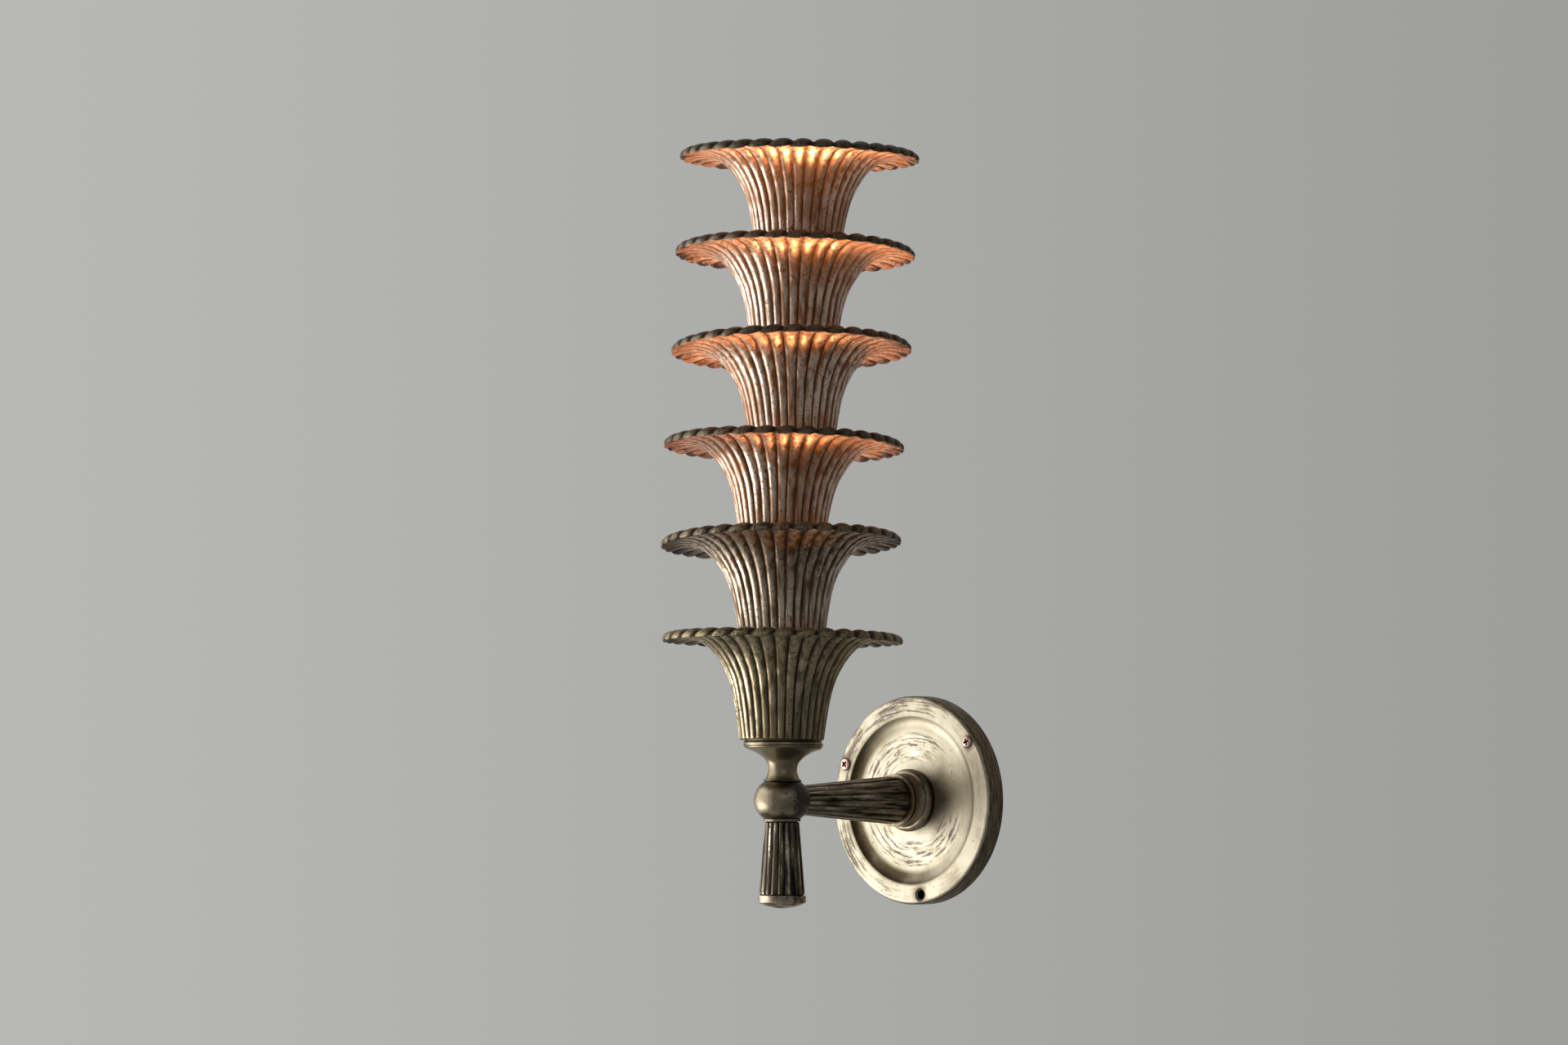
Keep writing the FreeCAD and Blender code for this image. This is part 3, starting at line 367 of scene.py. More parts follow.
class Finish(Graph):
    """A procedural material: a Principled shader and the nodes that feed it."""

    def __init__(self, name, metallic=1.0, roughness=0.4):
        self.material = bpy.data.materials.new(name)
        self.material.use_nodes = True
        super().__init__(self.material.node_tree)
        output = self.tree.nodes.new("ShaderNodeOutputMaterial")
        self.shader = self.tree.nodes.new("ShaderNodeBsdfPrincipled")
        self.shader.inputs["Metallic"].default_value = metallic
        self.shader.inputs["Roughness"].default_value = roughness
        self.tree.links.new(self.shader.outputs[0], output.inputs["Surface"])
        self.place = self.tree.nodes.new("ShaderNodeTexCoord").outputs["Object"]

    def attribute(self, name):
        node = self.tree.nodes.new("ShaderNodeAttribute")
        node.attribute_name = name
        return node.outputs["Fac"]

    def split(self):
        """The place's x, y and z."""
        node = self.tree.nodes.new("ShaderNodeSeparateXYZ")
        self.feed(node.inputs[0], self.place)
        return node.outputs[0:3]

    def join(self, x, y, z):
        node = self.tree.nodes.new("ShaderNodeCombineXYZ")
        for socket, source in zip(node.inputs, (x, y, z)):
            self.feed(socket, source)
        return node.outputs[0]

    def stretch(self, scale):
        node = self.tree.nodes.new("ShaderNodeMapping")
        self.feed(node.inputs["Vector"], self.place)
        node.inputs["Scale"].default_value = scale
        return node.outputs[0]

    def noise(self, scale, detail, rough, vector=None):
        node = self.tree.nodes.new("ShaderNodeTexNoise")
        self.feed(node.inputs["Vector"], vector or self.place)
        node.inputs["Scale"].default_value = scale
        node.inputs["Detail"].default_value = detail
        node.inputs["Roughness"].default_value = rough
        return node.outputs["Fac"]

    def lines(self, around, along, detail, rough, third=0.0):
        """Noise drawn out into lines. Around and along are each a value and its scale."""
        return self.noise(1.0, detail, rough, self.join(self.times(*around), self.times(*along), third))

    def cells(self, scale):
        node = self.tree.nodes.new("ShaderNodeTexVoronoi")
        self.feed(node.inputs["Vector"], self.place)
        node.inputs["Scale"].default_value = scale
        return node.outputs["Distance"]

    def radius(self, across, up, centre=(0.0, 0.0)):
        """The distance from a centre."""
        a = self.minus(across, centre[0])
        b = self.minus(up, centre[1])
        return self.math("SQRT", self.plus(self.times(a, a), self.times(b, b)))

    def bump(self, height, distance, strength):
        node = self.tree.nodes.new("ShaderNodeBump")
        node.inputs["Distance"].default_value = distance
        node.inputs["Strength"].default_value = strength
        self.feed(node.inputs["Height"], height)
        self.feed(self.shader.inputs["Normal"], node.outputs[0])

    def colour(self, source):
        self.feed(self.shader.inputs["Base Color"], source)

    def roughness(self, source):
        self.feed(self.shader.inputs["Roughness"], source)

    def metallic(self, source):
        self.feed(self.shader.inputs["Metallic"], source)


def cup_finish(name, rim_shade, rim_highlight, groove, mid, light):
    """Silvered casting: rubbed pale in streaks along the reeds, brown between them, speckled all over; its
    grooves hold painted shade, and its rim is painted dark as shade with painted highlights on the lobes.
    """
    f = Finish(name)
    relief, tone, flare = f.attribute("relief"), f.attribute("tone"), f.attribute("flare")
    blotch = f.noise(70, 6, 0.65)
    cloud = f.noise(20, 3, 0.5)
    speck = f.noise(620, 4, 0.65)
    streak = f.noise(330, 5, 0.6, f.stretch((1.0, 1.0, 0.10)))
    uneven = f.swing(blotch, 1.1)
    drawn = f.swing(streak, 2.2)
    worn = f.plus(relief, f.plus(uneven, drawn))
    grime = f.plus(speck, f.swing(blotch, 0.7), f.times(flare, 0.09))
    body = f.mix(f.ramp(worn, 0.50, 1.15), mid, light)
    body = f.mix(f.ramp(cloud, 0.40, 0.62, 0.0, 0.5), body, mid)
    body = f.mix(f.ramp(grime, 0.52, 0.70, 0.0, 0.75), body, mid)
    body = f.mix(f.ramp(grime, 0.64, 0.74, 0.0, 0.6), body, groove)
    # the underside of the lip is mottled, and the painted shade of its grooves spreads wider
    outer = f.ramp(flare, 0.62, 0.92)
    body = f.mix(f.times(outer, f.ramp(blotch, 0.62, 0.40, 0.3, 0.8)), body, mid)
    mottle = f.ramp(f.weigh((blotch, 1), (speck, 0.25)), 0.58, 0.68)
    body = f.mix(f.times(outer, mottle), body, groove)
    # the grooves are painted dark as shade
    depth = f.weigh((relief, 1), (uneven, 0.25), (drawn, 0.25), (outer, -0.18))
    body = f.mix(f.ramp(depth, 0.50, 0.14), body, groove)
    # the rim is painted dark as shade, with a painted highlight on each lobe's crest
    rim = f.mix(f.ramp(f.weigh((relief, 1), (uneven, 0.9)), 0.35, 0.95), rim_shade, rim_highlight)
    rim = f.mix(f.ramp(grime, 0.56, 0.68, 0.0, 0.8), rim, rim_shade)
    # the rim's hollows take the grooves' painted shade
    rim = f.mix(f.ramp(relief, 0.40, 0.10), rim, groove)
    shade = f.mix(f.ramp(f.weigh((tone, 1), (uneven, 0.3)), 0.35, 0.75), body, rim)
    inside = f.mix(f.ramp(blotch, 0.35, 0.65), (0.18, 0.115, 0.065), (0.32, 0.225, 0.135))
    f.colour(f.mix(f.ramp(tone, -0.2, -0.6), shade, inside))
    # the flare is duller than the body, so that the lamp below spreads over it
    dull = f.times(f.ramp(flare, 0.0, 0.6), f.ramp(tone, 0.6, 0.3))
    metal = f.ramp(relief, 0.1, 0.5, 0.6, 0.95)
    f.metallic(f.times(metal, f.minus(1.0, f.times(dull, 0.68))))
    rough = f.ramp(f.weigh((worn, 1), (speck, 0.3)), 0.2, 1.25, 0.52, 0.30)
    f.roughness(f.plus(rough, f.most(f.times(f.ramp(tone, 0.3, 0.8), 0.16), f.times(dull, 0.14))))
    f.bump(f.weigh((speck, 0.5), (blotch, 1), (streak, 0.5)), 0.0006, 0.4)
    return f.material


def reed_finish(name, along, groove, body, edge):
    """Dark bronze reeds with rubbed lines along them, and painted shade in the grooves."""
    f = Finish(name)
    relief = f.attribute("relief")
    blotch = f.noise(110, 6, 0.65)
    speck = f.noise(620, 4, 0.65)
    streak = f.noise(420, 4, 0.6, f.stretch(along))
    drawn = f.swing(streak, 2.6)
    worn = f.plus(relief, f.plus(f.swing(blotch, 0.7), drawn))
    # the reeds darken towards the grooves as painted shade, broken by rubbed streaks
    shade = f.mix(f.ramp(f.plus(worn, drawn), 0.15, 0.95), groove, body)
    crest = f.times(f.ramp(worn, 1.02, 1.30), f.ramp(speck, 0.36, 0.52))
    shade = f.mix(f.times(crest, 0.85), shade, edge)
    shade = f.mix(f.ramp(speck, 0.58, 0.68, 0.0, 0.6), shade, groove)
    # the grooves are painted dark as shade
    f.colour(f.mix(f.ramp(relief, 0.40, 0.12), shade, groove))
    f.metallic(f.ramp(worn, 0.2, 0.7, 0.6, 1.0))
    f.roughness(f.ramp(f.weigh((worn, 1), (speck, 0.4)), 0.3, 1.3, 0.52, 0.28))
    f.bump(f.weigh((speck, 0.5), (blotch, 1), (streak, 1)), 0.0005, 0.5)
    return f.material


# The plate's silver and what lies on it.
PLATE_PALE, PLATE_DEEP, PLATE_GRAIN = (0.56, 0.505, 0.388), (0.45, 0.395, 0.28), (0.40, 0.33, 0.22)
PLATE_SLOPE_SHADE = (0.072, 0.052, 0.026)
PLATE_SCRATCH, PLATE_SHINE = (0.13, 0.10, 0.07), (0.82, 0.79, 0.72)
PLATE_RUB, PLATE_GLINT, PLATE_PIT = (0.17, 0.13, 0.09), (0.80, 0.77, 0.70), (0.14, 0.10, 0.07)
PLATE_SIDE_DARK, PLATE_SIDE_PALE = (0.065, 0.046, 0.027), (0.34, 0.275, 0.18)
PLATE_COLLAR_SHADOW = (0.085, 0.066, 0.040)
HOLE_STAIN, HOLE_SHADE = (0.15, 0.10, 0.055), (0.006, 0.005, 0.004)


def plate_finish():
    """Silvered plate: painted shade in the dish's slope, scuffed on the rim, scratched round the boss, a
    painted shadow beside the collar and painted shade in the screw holes.
    """
    f = Finish("plate_silver")
    x, y, z = f.split()
    r = f.radius(x, z)
    angle = f.math("ARCTAN2", z, x)
    rings = f.lines((angle, 2.2), (r, 520), 5, 0.7)
    fine = f.lines((angle, 7), (r, 1500), 4, 0.7)
    blotch = f.noise(38, 6, 0.62)
    grain = f.noise(320, 4, 0.6)
    silver = f.mix(f.ramp(blotch, 0.35, 0.7), PLATE_PALE, PLATE_DEEP)
    silver = f.mix(f.ramp(grain, 0.5, 0.75, 0.0, 0.4), silver, PLATE_GRAIN)
    # the dish's slope is painted brown as shade, most at the left and the lower left, where it faces away
    # from the light
    slope = f.band(r, 0.0400, 0.0445, 0.0496, 0.0520)
    left = f.ramp(f.weigh((x, -1.0), (z, -0.5)), -0.03, 0.035, 0.15, 1.0)
    silver = f.mix(f.times(slope, left, f.ramp(blotch, 0.25, 0.55, 0.65, 1.0)), silver, PLATE_SLOPE_SHADE)
    # scratches round the boss, above it at the left and below it
    upper_left = f.ramp(f.weigh((x, -0.7), (z, 1)), 0.004, 0.028)
    lower = f.ramp(f.times(z, -1.0), 0.002, 0.022)
    zone = f.times(f.band(r, 0.022, 0.027, 0.037, 0.043), f.most(upper_left, lower))
    scratch = f.times(f.ramp(f.weigh((rings, 1), (fine, 0.25)), 0.645, 0.70), zone)
    silver = f.mix(f.times(scratch, f.ramp(fine, 0.35, 0.6, 0.4, 0.95)), silver, PLATE_SCRATCH)
    silver = f.mix(f.times(f.ramp(rings, 0.45, 0.38), zone, 0.7), silver, PLATE_SHINE)
    # the flat rim is rubbed round and round, most at the left and at the top
    rim = f.band(r, 0.0505, 0.0530, 0.0612, 0.0625)
    rubbed = f.times(rim, f.ramp(f.weigh((x, -1.0), (z, 0.55)), -0.045, 0.035, 0.25, 1.0))
    rub = f.times(rubbed, f.ramp(f.plus(rings, f.swing(blotch, 0.9)), 0.47, 0.60))
    silver = f.mix(f.times(rub, 0.85), silver, PLATE_RUB)
    glint = f.times(rubbed, f.ramp(f.weigh((fine, 1), (blotch, 0.4)), 0.78, 0.84))
    silver = f.mix(f.times(glint, 0.8), silver, PLATE_GLINT)
    pits = f.times(f.ramp(f.cells(260), 0.20, 0.08), f.ramp(f.noise(55, 3, 0.5), 0.47, 0.58))
    silver = f.mix(f.times(pits, 0.8), silver, PLATE_PIT)
    # the turned side of the plate is brown with paler ridges
    edge = f.ramp(r, 0.0608, 0.0617)
    ridges = f.lines((angle, 5), (y, 900), 4, 0.7)
    pale = f.ramp(f.weigh((ridges, 1), (blotch, 0.3)), 0.55, 0.80)
    silver = f.mix(f.times(edge, 0.92), silver, f.mix(pale, PLATE_SIDE_DARK, PLATE_SIDE_PALE))
    # a shadow of the collar is painted on the plate at its right
    beside = f.minus(x, f.times(f.math("ABSOLUTE", z), 0.8))
    collar_shadow = f.times(f.ramp(r, 0.036, 0.020), f.ramp(beside, -0.006, 0.012))
    silver = f.mix(f.times(collar_shadow, 0.85), silver, PLATE_COLLAR_SHADOW)
    # each screw hole is painted near black as shade, with a brown stain round it
    for step in range(WALL_SCREW_HOLES):
        turn = math.radians(WALL_SCREW_TURN + WALL_SCREW_STEP * step)
        reach = WALL_SCREW_CIRCLE * MM
        away = f.radius(x, z, (reach * math.cos(turn), reach * math.sin(turn)))
        stain = f.times(f.ramp(away, 0.0075, 0.0038), f.ramp(blotch, 0.40, 0.60, 0.2, 0.8))
        silver = f.mix(stain, silver, HOLE_STAIN)
        silver = f.mix(f.ramp(away, 0.0031, 0.0026), silver, HOLE_SHADE)
    f.colour(silver)
    worked = f.most(scratch, rub)
    f.metallic(f.minus(0.92, f.times(worked, 0.35)))
    f.roughness(f.ramp(f.weigh((blotch, 1), (worked, 0.3)), 0.3, 1.0, 0.44, 0.62))
    tooled = f.times(rings, f.weigh((zone, 1), (rim, 0.7)))
    f.bump(f.plus(tooled, f.times(grain, 0.4), f.times(ridges, edge, 0.8)), 0.0006, 0.35)
    return f.material


# A dark band fades in and out over this far outside and inside its edges, in metres.
BAND_OUTSIDE, BAND_INSIDE = 0.0003, 0.0002
BAND_DARK = (0.02, 0.015, 0.010)


def turned_finish(name, light, dark, tarnish, rough, axis="Z", bands=()):
    """Turned and silvered brass: tool rings, brown blotches and dark bands, each between two heights."""
    f = Finish(name)
    tall = f.split()["XYZ".index(axis)]
    blotch = f.noise(60, 6, 0.62)
    grain = f.noise(380, 4, 0.6)
    rings = f.noise(1.0, 3, 0.6, f.join(0.0, 0.0, f.times(tall, 2600)))
    shade = f.mix(f.ramp(blotch, 0.32, 0.72, 0.0, tarnish), light, dark)
    shade = f.mix(f.ramp(rings, 0.52, 0.7, 0.0, 0.30), shade, dark)
    shade = f.mix(f.ramp(grain, 0.58, 0.72, 0.0, 0.45), shade, dark)
    for low, high in bands:
        line = f.band(tall, low - BAND_OUTSIDE, low + BAND_INSIDE, high - BAND_INSIDE, high + BAND_OUTSIDE)
        shade = f.mix(f.times(line, 0.9), shade, BAND_DARK)
    f.colour(shade)
    f.roughness(f.ramp(f.weigh((blotch, 1), (grain, 0.3)), 0.3, 1.0, rough[0], rough[1]))
    f.bump(f.weigh((grain, 0.5), (rings, 0.3)), 0.0004, 0.3)
    return f.material


def ball_finish():
    """Satin ball, brushed upright, with a painted dark reflection at top and bottom and a charcoal film
    towards the wall.
    """
    f = Finish("ball_silver")
    x, y, z = f.split()
    y = f.plus(y, BALL_OUT * MM)
    turn = f.math("ARCTAN2", y, x)
    blotch = f.noise(75, 6, 0.62)
    grain = f.noise(420, 4, 0.6)
    brush = f.lines((turn, 34), (z, 90), 4, 0.65)
    scrape = f.lines((turn, 5), (z, 900), 5, 0.7, 3.0)
    off_middle = f.math("ABSOLUTE", z)
    shade = f.mix(f.ramp(blotch, 0.35, 0.65, 0.0, 0.6), (0.38, 0.33, 0.235), (0.17, 0.13, 0.083))
    shade = f.mix(f.ramp(brush, 0.50, 0.66, 0.0, 0.45), shade, (0.12, 0.092, 0.058))
    # the top and bottom are darkened as a painted reflection
    ends = f.plus(off_middle, f.swing(blotch, 0.008))
    shade = f.mix(f.ramp(ends, 0.0066, 0.0090, 0.0, 0.85), shade, (0.075, 0.058, 0.036))
    # the film lies at the view's right, with a ragged edge, and ends short of the ball's top and bottom
    across = f.weigh((x, RIGHT.x), (y, RIGHT.y))
    ragged = f.plus(f.swing(blotch, 0.020), f.swing(scrape, 0.020))
    film = f.times(f.ramp(f.plus(across, ragged), 0.0038, 0.0080), f.ramp(off_middle, 0.0105, 0.0085))
    worn = f.times(film, f.ramp(scrape, 0.66, 0.56))
    f.colour(f.mix(f.times(worn, 0.94), shade, (0.030, 0.027, 0.023)))
    f.metallic(f.minus(1.0, f.times(worn, 0.5)))
    rough = f.ramp(f.weigh((blotch, 1), (brush, 0.5)), 0.4, 1.2, 0.20, 0.38)
    f.roughness(f.weigh((rough, 1), (worn, 0.08)))
    f.bump(f.plus(f.weigh((grain, 0.4), (brush, 0.6)), f.times(film, scrape)), 0.0005, 0.4)
    return f.material


def plain_finish(name, light, dark, metallic, rough, scale=200):
    """One colour with darker spots and specks."""
    f = Finish(name, metallic=metallic)
    spot = f.noise(scale, 5, 0.6)
    fine = f.noise(scale * 6, 3, 0.6)
    shade = f.mix(f.ramp(spot, 0.35, 0.7), light, dark)
    f.colour(f.mix(f.ramp(fine, 0.6, 0.72, 0.0, 0.5), shade, dark))
    f.roughness(f.ramp(spot, 0.3, 0.7, rough[0], rough[1]))
    f.bump(f.weigh((spot, 1), (fine, 0.4)), 0.0003, 0.25)
    return f.material


def glass_finish():
    """Thin clear glass, a little dusty."""
    f = Finish("lamp_tube_glass", metallic=0.0, roughness=0.04)
    dust = f.noise(120, 5, 0.6)
    f.colour(f.mix(f.ramp(dust, 0.4, 0.7), (1.0, 0.97, 0.92), (0.95, 0.88, 0.78)))
    f.roughness(f.ramp(dust, 0.4, 0.7, 0.03, 0.10))
    f.shader.inputs["Alpha"].default_value = 0.16
    f.shader.inputs["IOR"].default_value = 1.45
    return f.material


def glow_finish():
    """Glowing wire."""
    f = Finish("lamp_filament_glow", metallic=0.0, roughness=0.5)
    flicker = f.noise(300, 3, 0.5)
    f.colour((1.0, 0.6, 0.25))
    f.feed(f.shader.inputs["Emission Color"], f.mix(flicker, (1.0, 0.52, 0.18), (1.0, 0.62, 0.26)))
    f.shader.inputs["Emission Strength"].default_value = 30.0
    return f.material


def screw_finish():
    """Coppered steel, with the cross recess painted near black as shade."""
    f = Finish("coppered_screw", roughness=0.4)
    dull = f.noise(900, 4, 0.6)
    coppery = f.mix(f.ramp(dull, 0.35, 0.65), (0.86, 0.62, 0.54), (0.58, 0.38, 0.31))
    f.colour(f.mix(f.ramp(f.attribute("relief"), 0.2, 0.9), (0.03, 0.022, 0.018), coppery))
    f.bump(dull, 0.0002, 0.4)
    return f.material


def wear(node_name, material):
    """A CAD node takes this material in all its slots."""
    made = nodes[node_name]
    if not made.data.materials:
        made.data.materials.append(material)
    for i in range(len(made.data.materials)):
        made.data.materials[i] = material


# ---------------------------------------------------------------- the cups

# A body's colour in the grooves, painted dark there as shade, between and on the crests, and a rim's painted
# shade in its hollows and painted highlight on its lobes.
GLOW_TINTED_BODY = ((0.028, 0.013, 0.007), (0.33, 0.155, 0.078), (0.93, 0.80, 0.68))
COOL_BODY = ((0.022, 0.015, 0.010), (0.17, 0.105, 0.062), (0.88, 0.77, 0.62))
GILT_BODY = ((0.014, 0.010, 0.007), (0.14, 0.105, 0.056), (0.66, 0.56, 0.38))
DARK_RIM_SHADE_HIGHLIGHT = ((0.045, 0.035, 0.024), (0.17, 0.135, 0.09))
BROWN_RIM_SHADE_HIGHLIGHT = ((0.050, 0.039, 0.025), (0.25, 0.195, 0.125))
GOLDEN_RIM_SHADE_HIGHLIGHT = ((0.070, 0.055, 0.031), (0.36, 0.29, 0.17))
CUP_SEED = 40

# The top four cups' bodies are tinted orange as a painted glow from the lamp below them; the two lowest are
# not.
upper_look = cup_finish("cup_silver_glow_tint_shaded_rim", *DARK_RIM_SHADE_HIGHLIGHT, *GLOW_TINTED_BODY)
lower_looks = {
    "cup_5": cup_finish("cup_silver_brown_shaded_rim", *BROWN_RIM_SHADE_HIGHLIGHT, *COOL_BODY),
    "cup_6": cup_finish("cup_silver_golden_shaded_rim", *GOLDEN_RIM_SHADE_HIGHLIGHT, *GILT_BODY),
}
for name, (step, *_) in CUP_STANCE.items():
    cup = fluted_ring(
        "fluted_" + name, cup_stations(), FLUTES, per_flute=12, seed=CUP_SEED + step,
        place=stance(name), wobble=0.25, unevenness=0.05,
    )
    cup.data.materials.append(lower_looks.get(name, upper_look))
    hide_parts(name)
    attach(cup, "root")

# ---------------------------------------------------------------- arm, drop and neck

arm_look = reed_finish(
    "reeded_brown_bronze", (1, 0.06, 1), (0.020, 0.015, 0.010), (0.27, 0.22, 0.155), (0.74, 0.65, 0.50)
)
drop_look = reed_finish(
    "reeded_dark_bronze", (1, 1, 0.06), (0.010, 0.008, 0.006), (0.15, 0.12, 0.085), (0.85, 0.77, 0.62)
)
arm_line = reeded_stations(
    start=28.4, end=110.3, r_start=14.5, r_end=8.5, bore=5.4, tip_start=4.0, tip_end=2.0
)
arm = fluted_ring("reeded_arm", arm_line, REEDS, per_flute=14, seed=7, place=out_of_wall(), unevenness=0.12)
arm.data.materials.append(arm_look)
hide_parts("arm")
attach(arm, "root")

drop_line = reeded_stations(
    start=12.3, end=55.2, r_start=10.0, r_end=13.4, bore=4.4, tip_start=1.0, tip_end=2.6
)
drop = fluted_ring("reeded_drop", drop_line, REEDS, per_flute=14, seed=9, place=drop_place(), unevenness=0.12)
drop.data.materials.append(drop_look)
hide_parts("pendant")
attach(drop, "root")

NECK_LINES = ((0.0116, 0.0119),)
neck_look = turned_finish(
    "neck_bronze", (0.34, 0.285, 0.19), (0.11, 0.082, 0.048), 0.9, (0.26, 0.40), bands=NECK_LINES
)
neck = fluted_ring("turned_neck", neck_stations(), count=8, per_flute=14, seed=5, place=stack_place(0))
neck.data.materials.append(neck_look)
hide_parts("neck")
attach(neck, "root")

# ---------------------------------------------------------------- wall screws

# A screw's head: its radius, its face's height over the wall, its crown's over its face, and its edge's.
HEAD_RADIUS, HEAD_FACE, HEAD_RISE, HEAD_EDGE = 3.5, 12.5, 1.5, 0.3
# The cross recess: half its slots' width and length and how they fade out, its depth and its taper.
SLOT_WIDTH, SLOT_WIDTH_FADE = 0.62, 0.16
SLOT_LENGTH, SLOT_LENGTH_FADE = 2.1, 0.3
SLOT_DEPTH, SLOT_TAPER = 1.5, 0.35
CROWN_STEPS = 14
SCREW_SIDES = 96


def screw_rings():
    """The screw's section as (radius, height), from the wall to its crown."""
    top = HEAD_FACE + HEAD_EDGE
    rings = [(2.0, 0.4), (2.0, 6.0), (2.0, 10.4)]
    rings += [(HEAD_RADIUS * 0.80, HEAD_FACE - 0.9), (HEAD_RADIUS, HEAD_FACE), (HEAD_RADIUS, top)]
    for k in range(1, CROWN_STEPS):
        turn = math.pi / 2 * k / CROWN_STEPS
        rings.append((HEAD_RADIUS * math.cos(turn), top + (HEAD_RISE - HEAD_EDGE) * math.sin(turn)))
    return rings + [(HEAD_RADIUS * share, HEAD_FACE + HEAD_RISE) for share in (0.10, 0.05)]


def recess(x, y):
    """How far a place on the crown lies in the cross recess, 0 to 1, and its distance along the slot."""
    across, along = sorted((abs(x), abs(y)))
    width = (SLOT_WIDTH - across) / SLOT_WIDTH_FADE
    length = (SLOT_LENGTH - along) / SLOT_LENGTH_FADE
    return max(0.0, min(1.0, width)) * max(0.0, min(1.0, length)), along


def screw(name, angle, turn):
    """A raised countersunk wood screw with a cross recess, from the wall to its head."""
    rings = screw_rings()
    points, sunk = [], []
    for r, h in rings:
        for k in range(SCREW_SIDES):
            a = 2 * math.pi * k / SCREW_SIDES
            x, y = r * math.cos(a), r * math.sin(a)
            inside, along = recess(x, y) if h > HEAD_FACE + 0.2 else (0.0, 0.0)
            points.append((x, y, h - SLOT_DEPTH * inside * (1 - SLOT_TAPER * along / SLOT_LENGTH)))
            sunk.append(1 - inside)
    faces = ring_faces(len(rings), SCREW_SIDES)[:-SCREW_SIDES]
    last = (len(rings) - 1) * SCREW_SIDES
    faces.append(tuple(last + k for k in range(SCREW_SIDES)))
    faces.append(tuple(reversed(range(SCREW_SIDES))))
    where = Vector((WALL_SCREW_CIRCLE * math.cos(angle), 0, WALL_SCREW_CIRCLE * math.sin(angle))) * MM
    place = Matrix.Translation(where) @ out_of_wall() @ Matrix.Rotation(turn, 4, "Z")
    made = make_object(name, np.array(points) * MM, faces, place)
    paint(made, "relief", sunk)
    return made


screw_look = screw_finish()
for name, step, turn in (("wall_screw_right", 0, 0.35), ("wall_screw_left", 1, 0.75)):
    made = screw(name, math.radians(WALL_SCREW_TURN + WALL_SCREW_STEP * step), turn)
    made.data.materials.append(screw_look)
    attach(made, "root")

# ---------------------------------------------------------------- materials of the imported pieces

# The seat's dark bands: a thin line, and painted shade in the gap under the lowest cup's foot.
SEAT_LINE_AND_SHADE = ((0.0318, 0.0322), (0.0334, 0.0350))

# The turned pieces: material, light and dark colour, tarnish, least and most roughness, axis and bands.
TURNED_LOOKS = {
    "arm_collar": ("collar_silver", (0.40, 0.335, 0.235), (0.075, 0.058, 0.036), 0.9, (0.26, 0.44), "Y"),
    "base_disc": ("satin_bronze", (0.45, 0.38, 0.26), (0.16, 0.12, 0.072), 0.75, (0.28, 0.42)),
    "seat_disc": ("seat_bronze", (0.4, 0.33, 0.22), (0.12, 0.09, 0.055), 0.85, (0.28, 0.44), "Z", SEAT_LINE_AND_SHADE),
    "pendant_ring": ("dark_bronze", (0.46, 0.40, 0.29), (0.055, 0.042, 0.028), 1.0, (0.30, 0.5)),
}
# The plain pieces: material, light and dark colour, metallic, least and most roughness, and spot scale.
PLAIN_LOOKS = {
    "pendant_cap": ("mottled_bronze", (0.52, 0.45, 0.34), (0.075, 0.058, 0.038), 0.95, (0.28, 0.5), 190),
    "holder_cap": ("holder_brass", (0.72, 0.55, 0.28), (0.38, 0.27, 0.13), 1.0, (0.3, 0.5)),
    "holder_contact": ("holder_contact_brass", (0.78, 0.6, 0.3), (0.5, 0.36, 0.18), 1.0, (0.25, 0.4)),
    "holder_sleeve": ("holder_ceramic", (0.82, 0.80, 0.75), (0.66, 0.62, 0.55), 0.0, (0.25, 0.4)),
    "lamp_cap": ("lamp_cap_metal", (0.66, 0.65, 0.62), (0.42, 0.41, 0.39), 1.0, (0.22, 0.4)),
    "lamp_stem": ("lamp_stem_glass", (0.75, 0.75, 0.72), (0.6, 0.6, 0.57), 0.0, (0.1, 0.2)),
    "inner_flex": ("flex_cover", (0.10, 0.08, 0.06), (0.05, 0.04, 0.03), 0.0, (0.6, 0.8), 900),
}
STEEL_PIECES = ("arm_tube", "back_washer", "back_nut", "neck_tube", "stem_nut", "pendant_stud", "stay_rods")

wear("backplate", plate_finish())
wear("ball_hub", ball_finish())
wear("lamp_glass", glass_finish())
wear("lamp_filament", glow_finish())
for name, look in TURNED_LOOKS.items():
    wear(name, turned_finish(*look))
for name, look in PLAIN_LOOKS.items():
    wear(name, plain_finish(*look))
steel = plain_finish("zinc_steel", (0.56, 0.56, 0.55), (0.34, 0.34, 0.33), 1.0, (0.30, 0.5))
for name in STEEL_PIECES:
    wear(name, steel)

# ---------------------------------------------------------------- camera

camera = bpy.data.objects.new("view", bpy.data.cameras.new("view"))
bpy.context.scene.collection.objects.link(camera)
camera.location = BALL - AHEAD * VIEW_DISTANCE + RIGHT * VIEW_SIDESTEP
sight = AHEAD * math.cos(VIEW_PITCH) + UP * math.sin(VIEW_PITCH)
camera.rotation_mode = "QUATERNION"
camera.rotation_quaternion = sight.to_track_quat("-Z", "Y")
camera.data.sensor_fit = "HORIZONTAL"
camera.data.sensor_width = SENSOR
camera.data.lens = LENS
camera.data.clip_start = 0.1
camera.data.clip_end = 50
bpy.context.scene.camera = camera

# ---------------------------------------------------------------- light

DAY = (1.0, 0.985, 0.96)
COOL_DAY = (0.98, 0.99, 1.0)
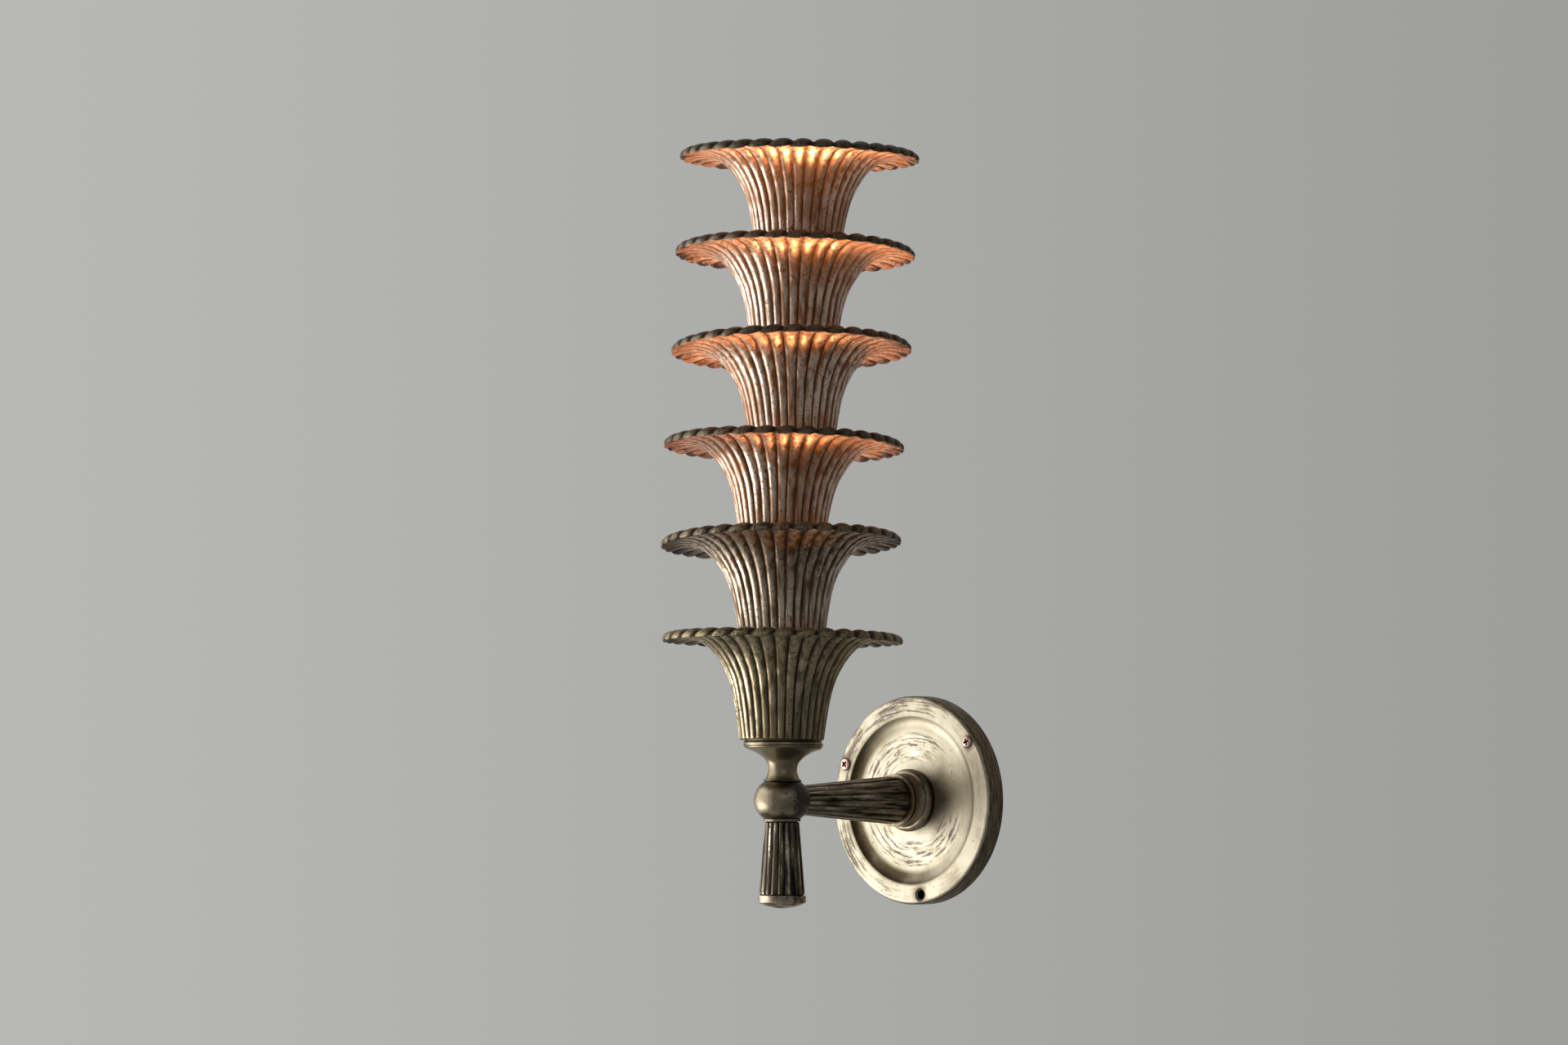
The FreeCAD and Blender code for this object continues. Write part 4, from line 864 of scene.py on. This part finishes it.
# The height over the ball that a light aims at, how far right, ahead and up of there it stands, its width and
# height in metres, its watts and its colour.
SOFT_LIGHTS = {
    "key_left": (0.15, (-1.8, -0.30, 0.12), (1.2, 2.5), 16.5, DAY),
    "edge_left": (0.15, (-1.6, 0.75, 0.05), (1.0, 2.4), 17, DAY),
    "low_left": (0.24, (-1.0, 0.15, -0.62), (0.7, 0.5), 3.6, DAY),
    "fill_front": (0.15, (0.3, -2.2, 0.8), (1.2, 1.0), 1.5, COOL_DAY),
}
for name, (aim_height, (right, ahead, up), size, watts, colour) in SOFT_LIGHTS.items():
    lamp = bpy.data.lights.new(name, "AREA")
    lamp.shape = "RECTANGLE"
    lamp.size, lamp.size_y = size
    lamp.energy = watts
    lamp.color = colour
    made = bpy.data.objects.new(name, lamp)
    bpy.context.scene.collection.objects.link(made)
    offset = RIGHT * right + AHEAD * ahead + UP * up
    made.location = BALL + UP * aim_height + offset
    made.rotation_mode = "QUATERNION"
    made.rotation_quaternion = (-offset).to_track_quat("-Z", "Y")

# One lamp in each cup throws its light up on the cup above. It stands at this height in the cup, a little to
# the view's right, and stays inside the cup's wall. The watts run from the lowest cup to the top one.
GLOW_COLOUR = (1.0, 0.54, 0.26)
GLOW_HEIGHT = 14
GLOW_SIDESTEP = 5
GLOW_RADIUS = 18.5
GLOW_WATTS = (0.07, 1.15, 1.6, 1.6, 1.6, 0.75)
for step, watts in enumerate(GLOW_WATTS):
    bulb = bpy.data.lights.new("glow_%d" % step, "POINT")
    bulb.energy = watts
    bulb.color = GLOW_COLOUR
    bulb.shadow_soft_size = GLOW_RADIUS * MM
    made = bpy.data.objects.new("glow_%d" % step, bulb)
    bpy.context.scene.collection.objects.link(made)
    middle = stack_place(FIRST_CUP + step * CUP_PITCH + GLOW_HEIGHT).translation
    made.location = middle + RIGHT * GLOW_SIDESTEP * MM

# ---------------------------------------------------------------- floor and surround

# The floor's rings as (radius, height) in metres, and where its centre lies.
FLOOR_RINGS = [(0.5, 0.0), (0.9, 0.0), (1.0, -0.002), (1.04, -0.01), (1.05, -0.03)]
FLOOR_SIDES = 96
FLOOR_CENTRE = (0, -0.1, -0.7)


def floor():
    """A pale floor well below the sconce."""
    turns = [2 * math.pi * k / FLOOR_SIDES for k in range(FLOOR_SIDES)]
    points = [(0.0, 0.0, 0.0)]
    points += [(r * math.cos(a), r * math.sin(a), h) for r, h in FLOOR_RINGS for a in turns]
    faces = [(0, 1 + k, 1 + (k + 1) % FLOOR_SIDES) for k in range(FLOOR_SIDES)]
    rings = ring_faces(len(FLOOR_RINGS), FLOOR_SIDES)[:-FLOOR_SIDES]
    faces += [(a + 1, d + 1, c + 1, b + 1) for a, b, c, d in rings]
    made = make_object("floor", np.array(points), faces, Matrix.Translation(FLOOR_CENTRE))
    f = Finish("floor_plaster", metallic=0.0, roughness=0.85)
    f.colour(f.mix(f.noise(6, 4, 0.5), (0.60, 0.59, 0.57), (0.66, 0.65, 0.63)))
    made.data.materials.append(f.material)


floor()

# The surround is pale behind the sconce and at its left, and dimmer in front and at its right.
BEHIND_LEFT, BEHIND_MIDDLE = (0.50, 0.50, 0.49), (0.32, 0.32, 0.315)
RIGHT_LOW, RIGHT_HIGH = (0.21, 0.205, 0.20), (0.30, 0.255, 0.22)
FRONT_LEFT, FRONT_RIGHT = (0.27, 0.27, 0.265), (0.17, 0.168, 0.165)
AMBIENT, AMBIENT_STRENGTH = (0.80, 0.82, 0.85), 0.10

world = bpy.data.worlds.new("surround")
bpy.context.scene.world = world
world.use_nodes = True
graph = Graph(world.node_tree)
direction = graph.tree.nodes.new("ShaderNodeTexCoord").outputs["Generated"]


def grade(axis, low, high):
    """0 to 1 as the direction turns along an axis."""
    dot = graph.tree.nodes.new("ShaderNodeVectorMath")
    dot.operation = "DOT_PRODUCT"
    graph.feed(dot.inputs[0], direction)
    dot.inputs[1].default_value = axis
    return graph.ramp(dot.outputs["Value"], low, high)


def background(colour, strength):
    node = graph.tree.nodes.new("ShaderNodeBackground")
    graph.feed(node.inputs["Color"], colour)
    graph.feed(node.inputs["Strength"], strength)
    return node.outputs[0]


behind = graph.mix(grade(RIGHT, -0.25, 0.25), BEHIND_LEFT, BEHIND_MIDDLE)
beside = graph.mix(grade(UP, 0.0, 0.35), RIGHT_LOW, RIGHT_HIGH)
behind = graph.mix(grade(RIGHT, 0.25, 0.6), behind, beside)
in_front = graph.mix(grade(RIGHT, -0.9, 0.4), FRONT_LEFT, FRONT_RIGHT)
seen = background(graph.mix(grade(AHEAD, -0.1, 0.5), in_front, behind), 1.0)
path = graph.tree.nodes.new("ShaderNodeLightPath").outputs
sees = graph.most(path["Is Camera Ray"], path["Is Glossy Ray"], path["Is Transmission Ray"])
chosen = graph.tree.nodes.new("ShaderNodeMixShader")
for socket, source in zip(chosen.inputs, (sees, background(AMBIENT, AMBIENT_STRENGTH), seen)):
    graph.feed(socket, source)
graph.feed(graph.tree.nodes.new("ShaderNodeOutputWorld").inputs["Surface"], chosen.outputs[0])

bpy.context.scene.view_settings.view_transform = "Standard"
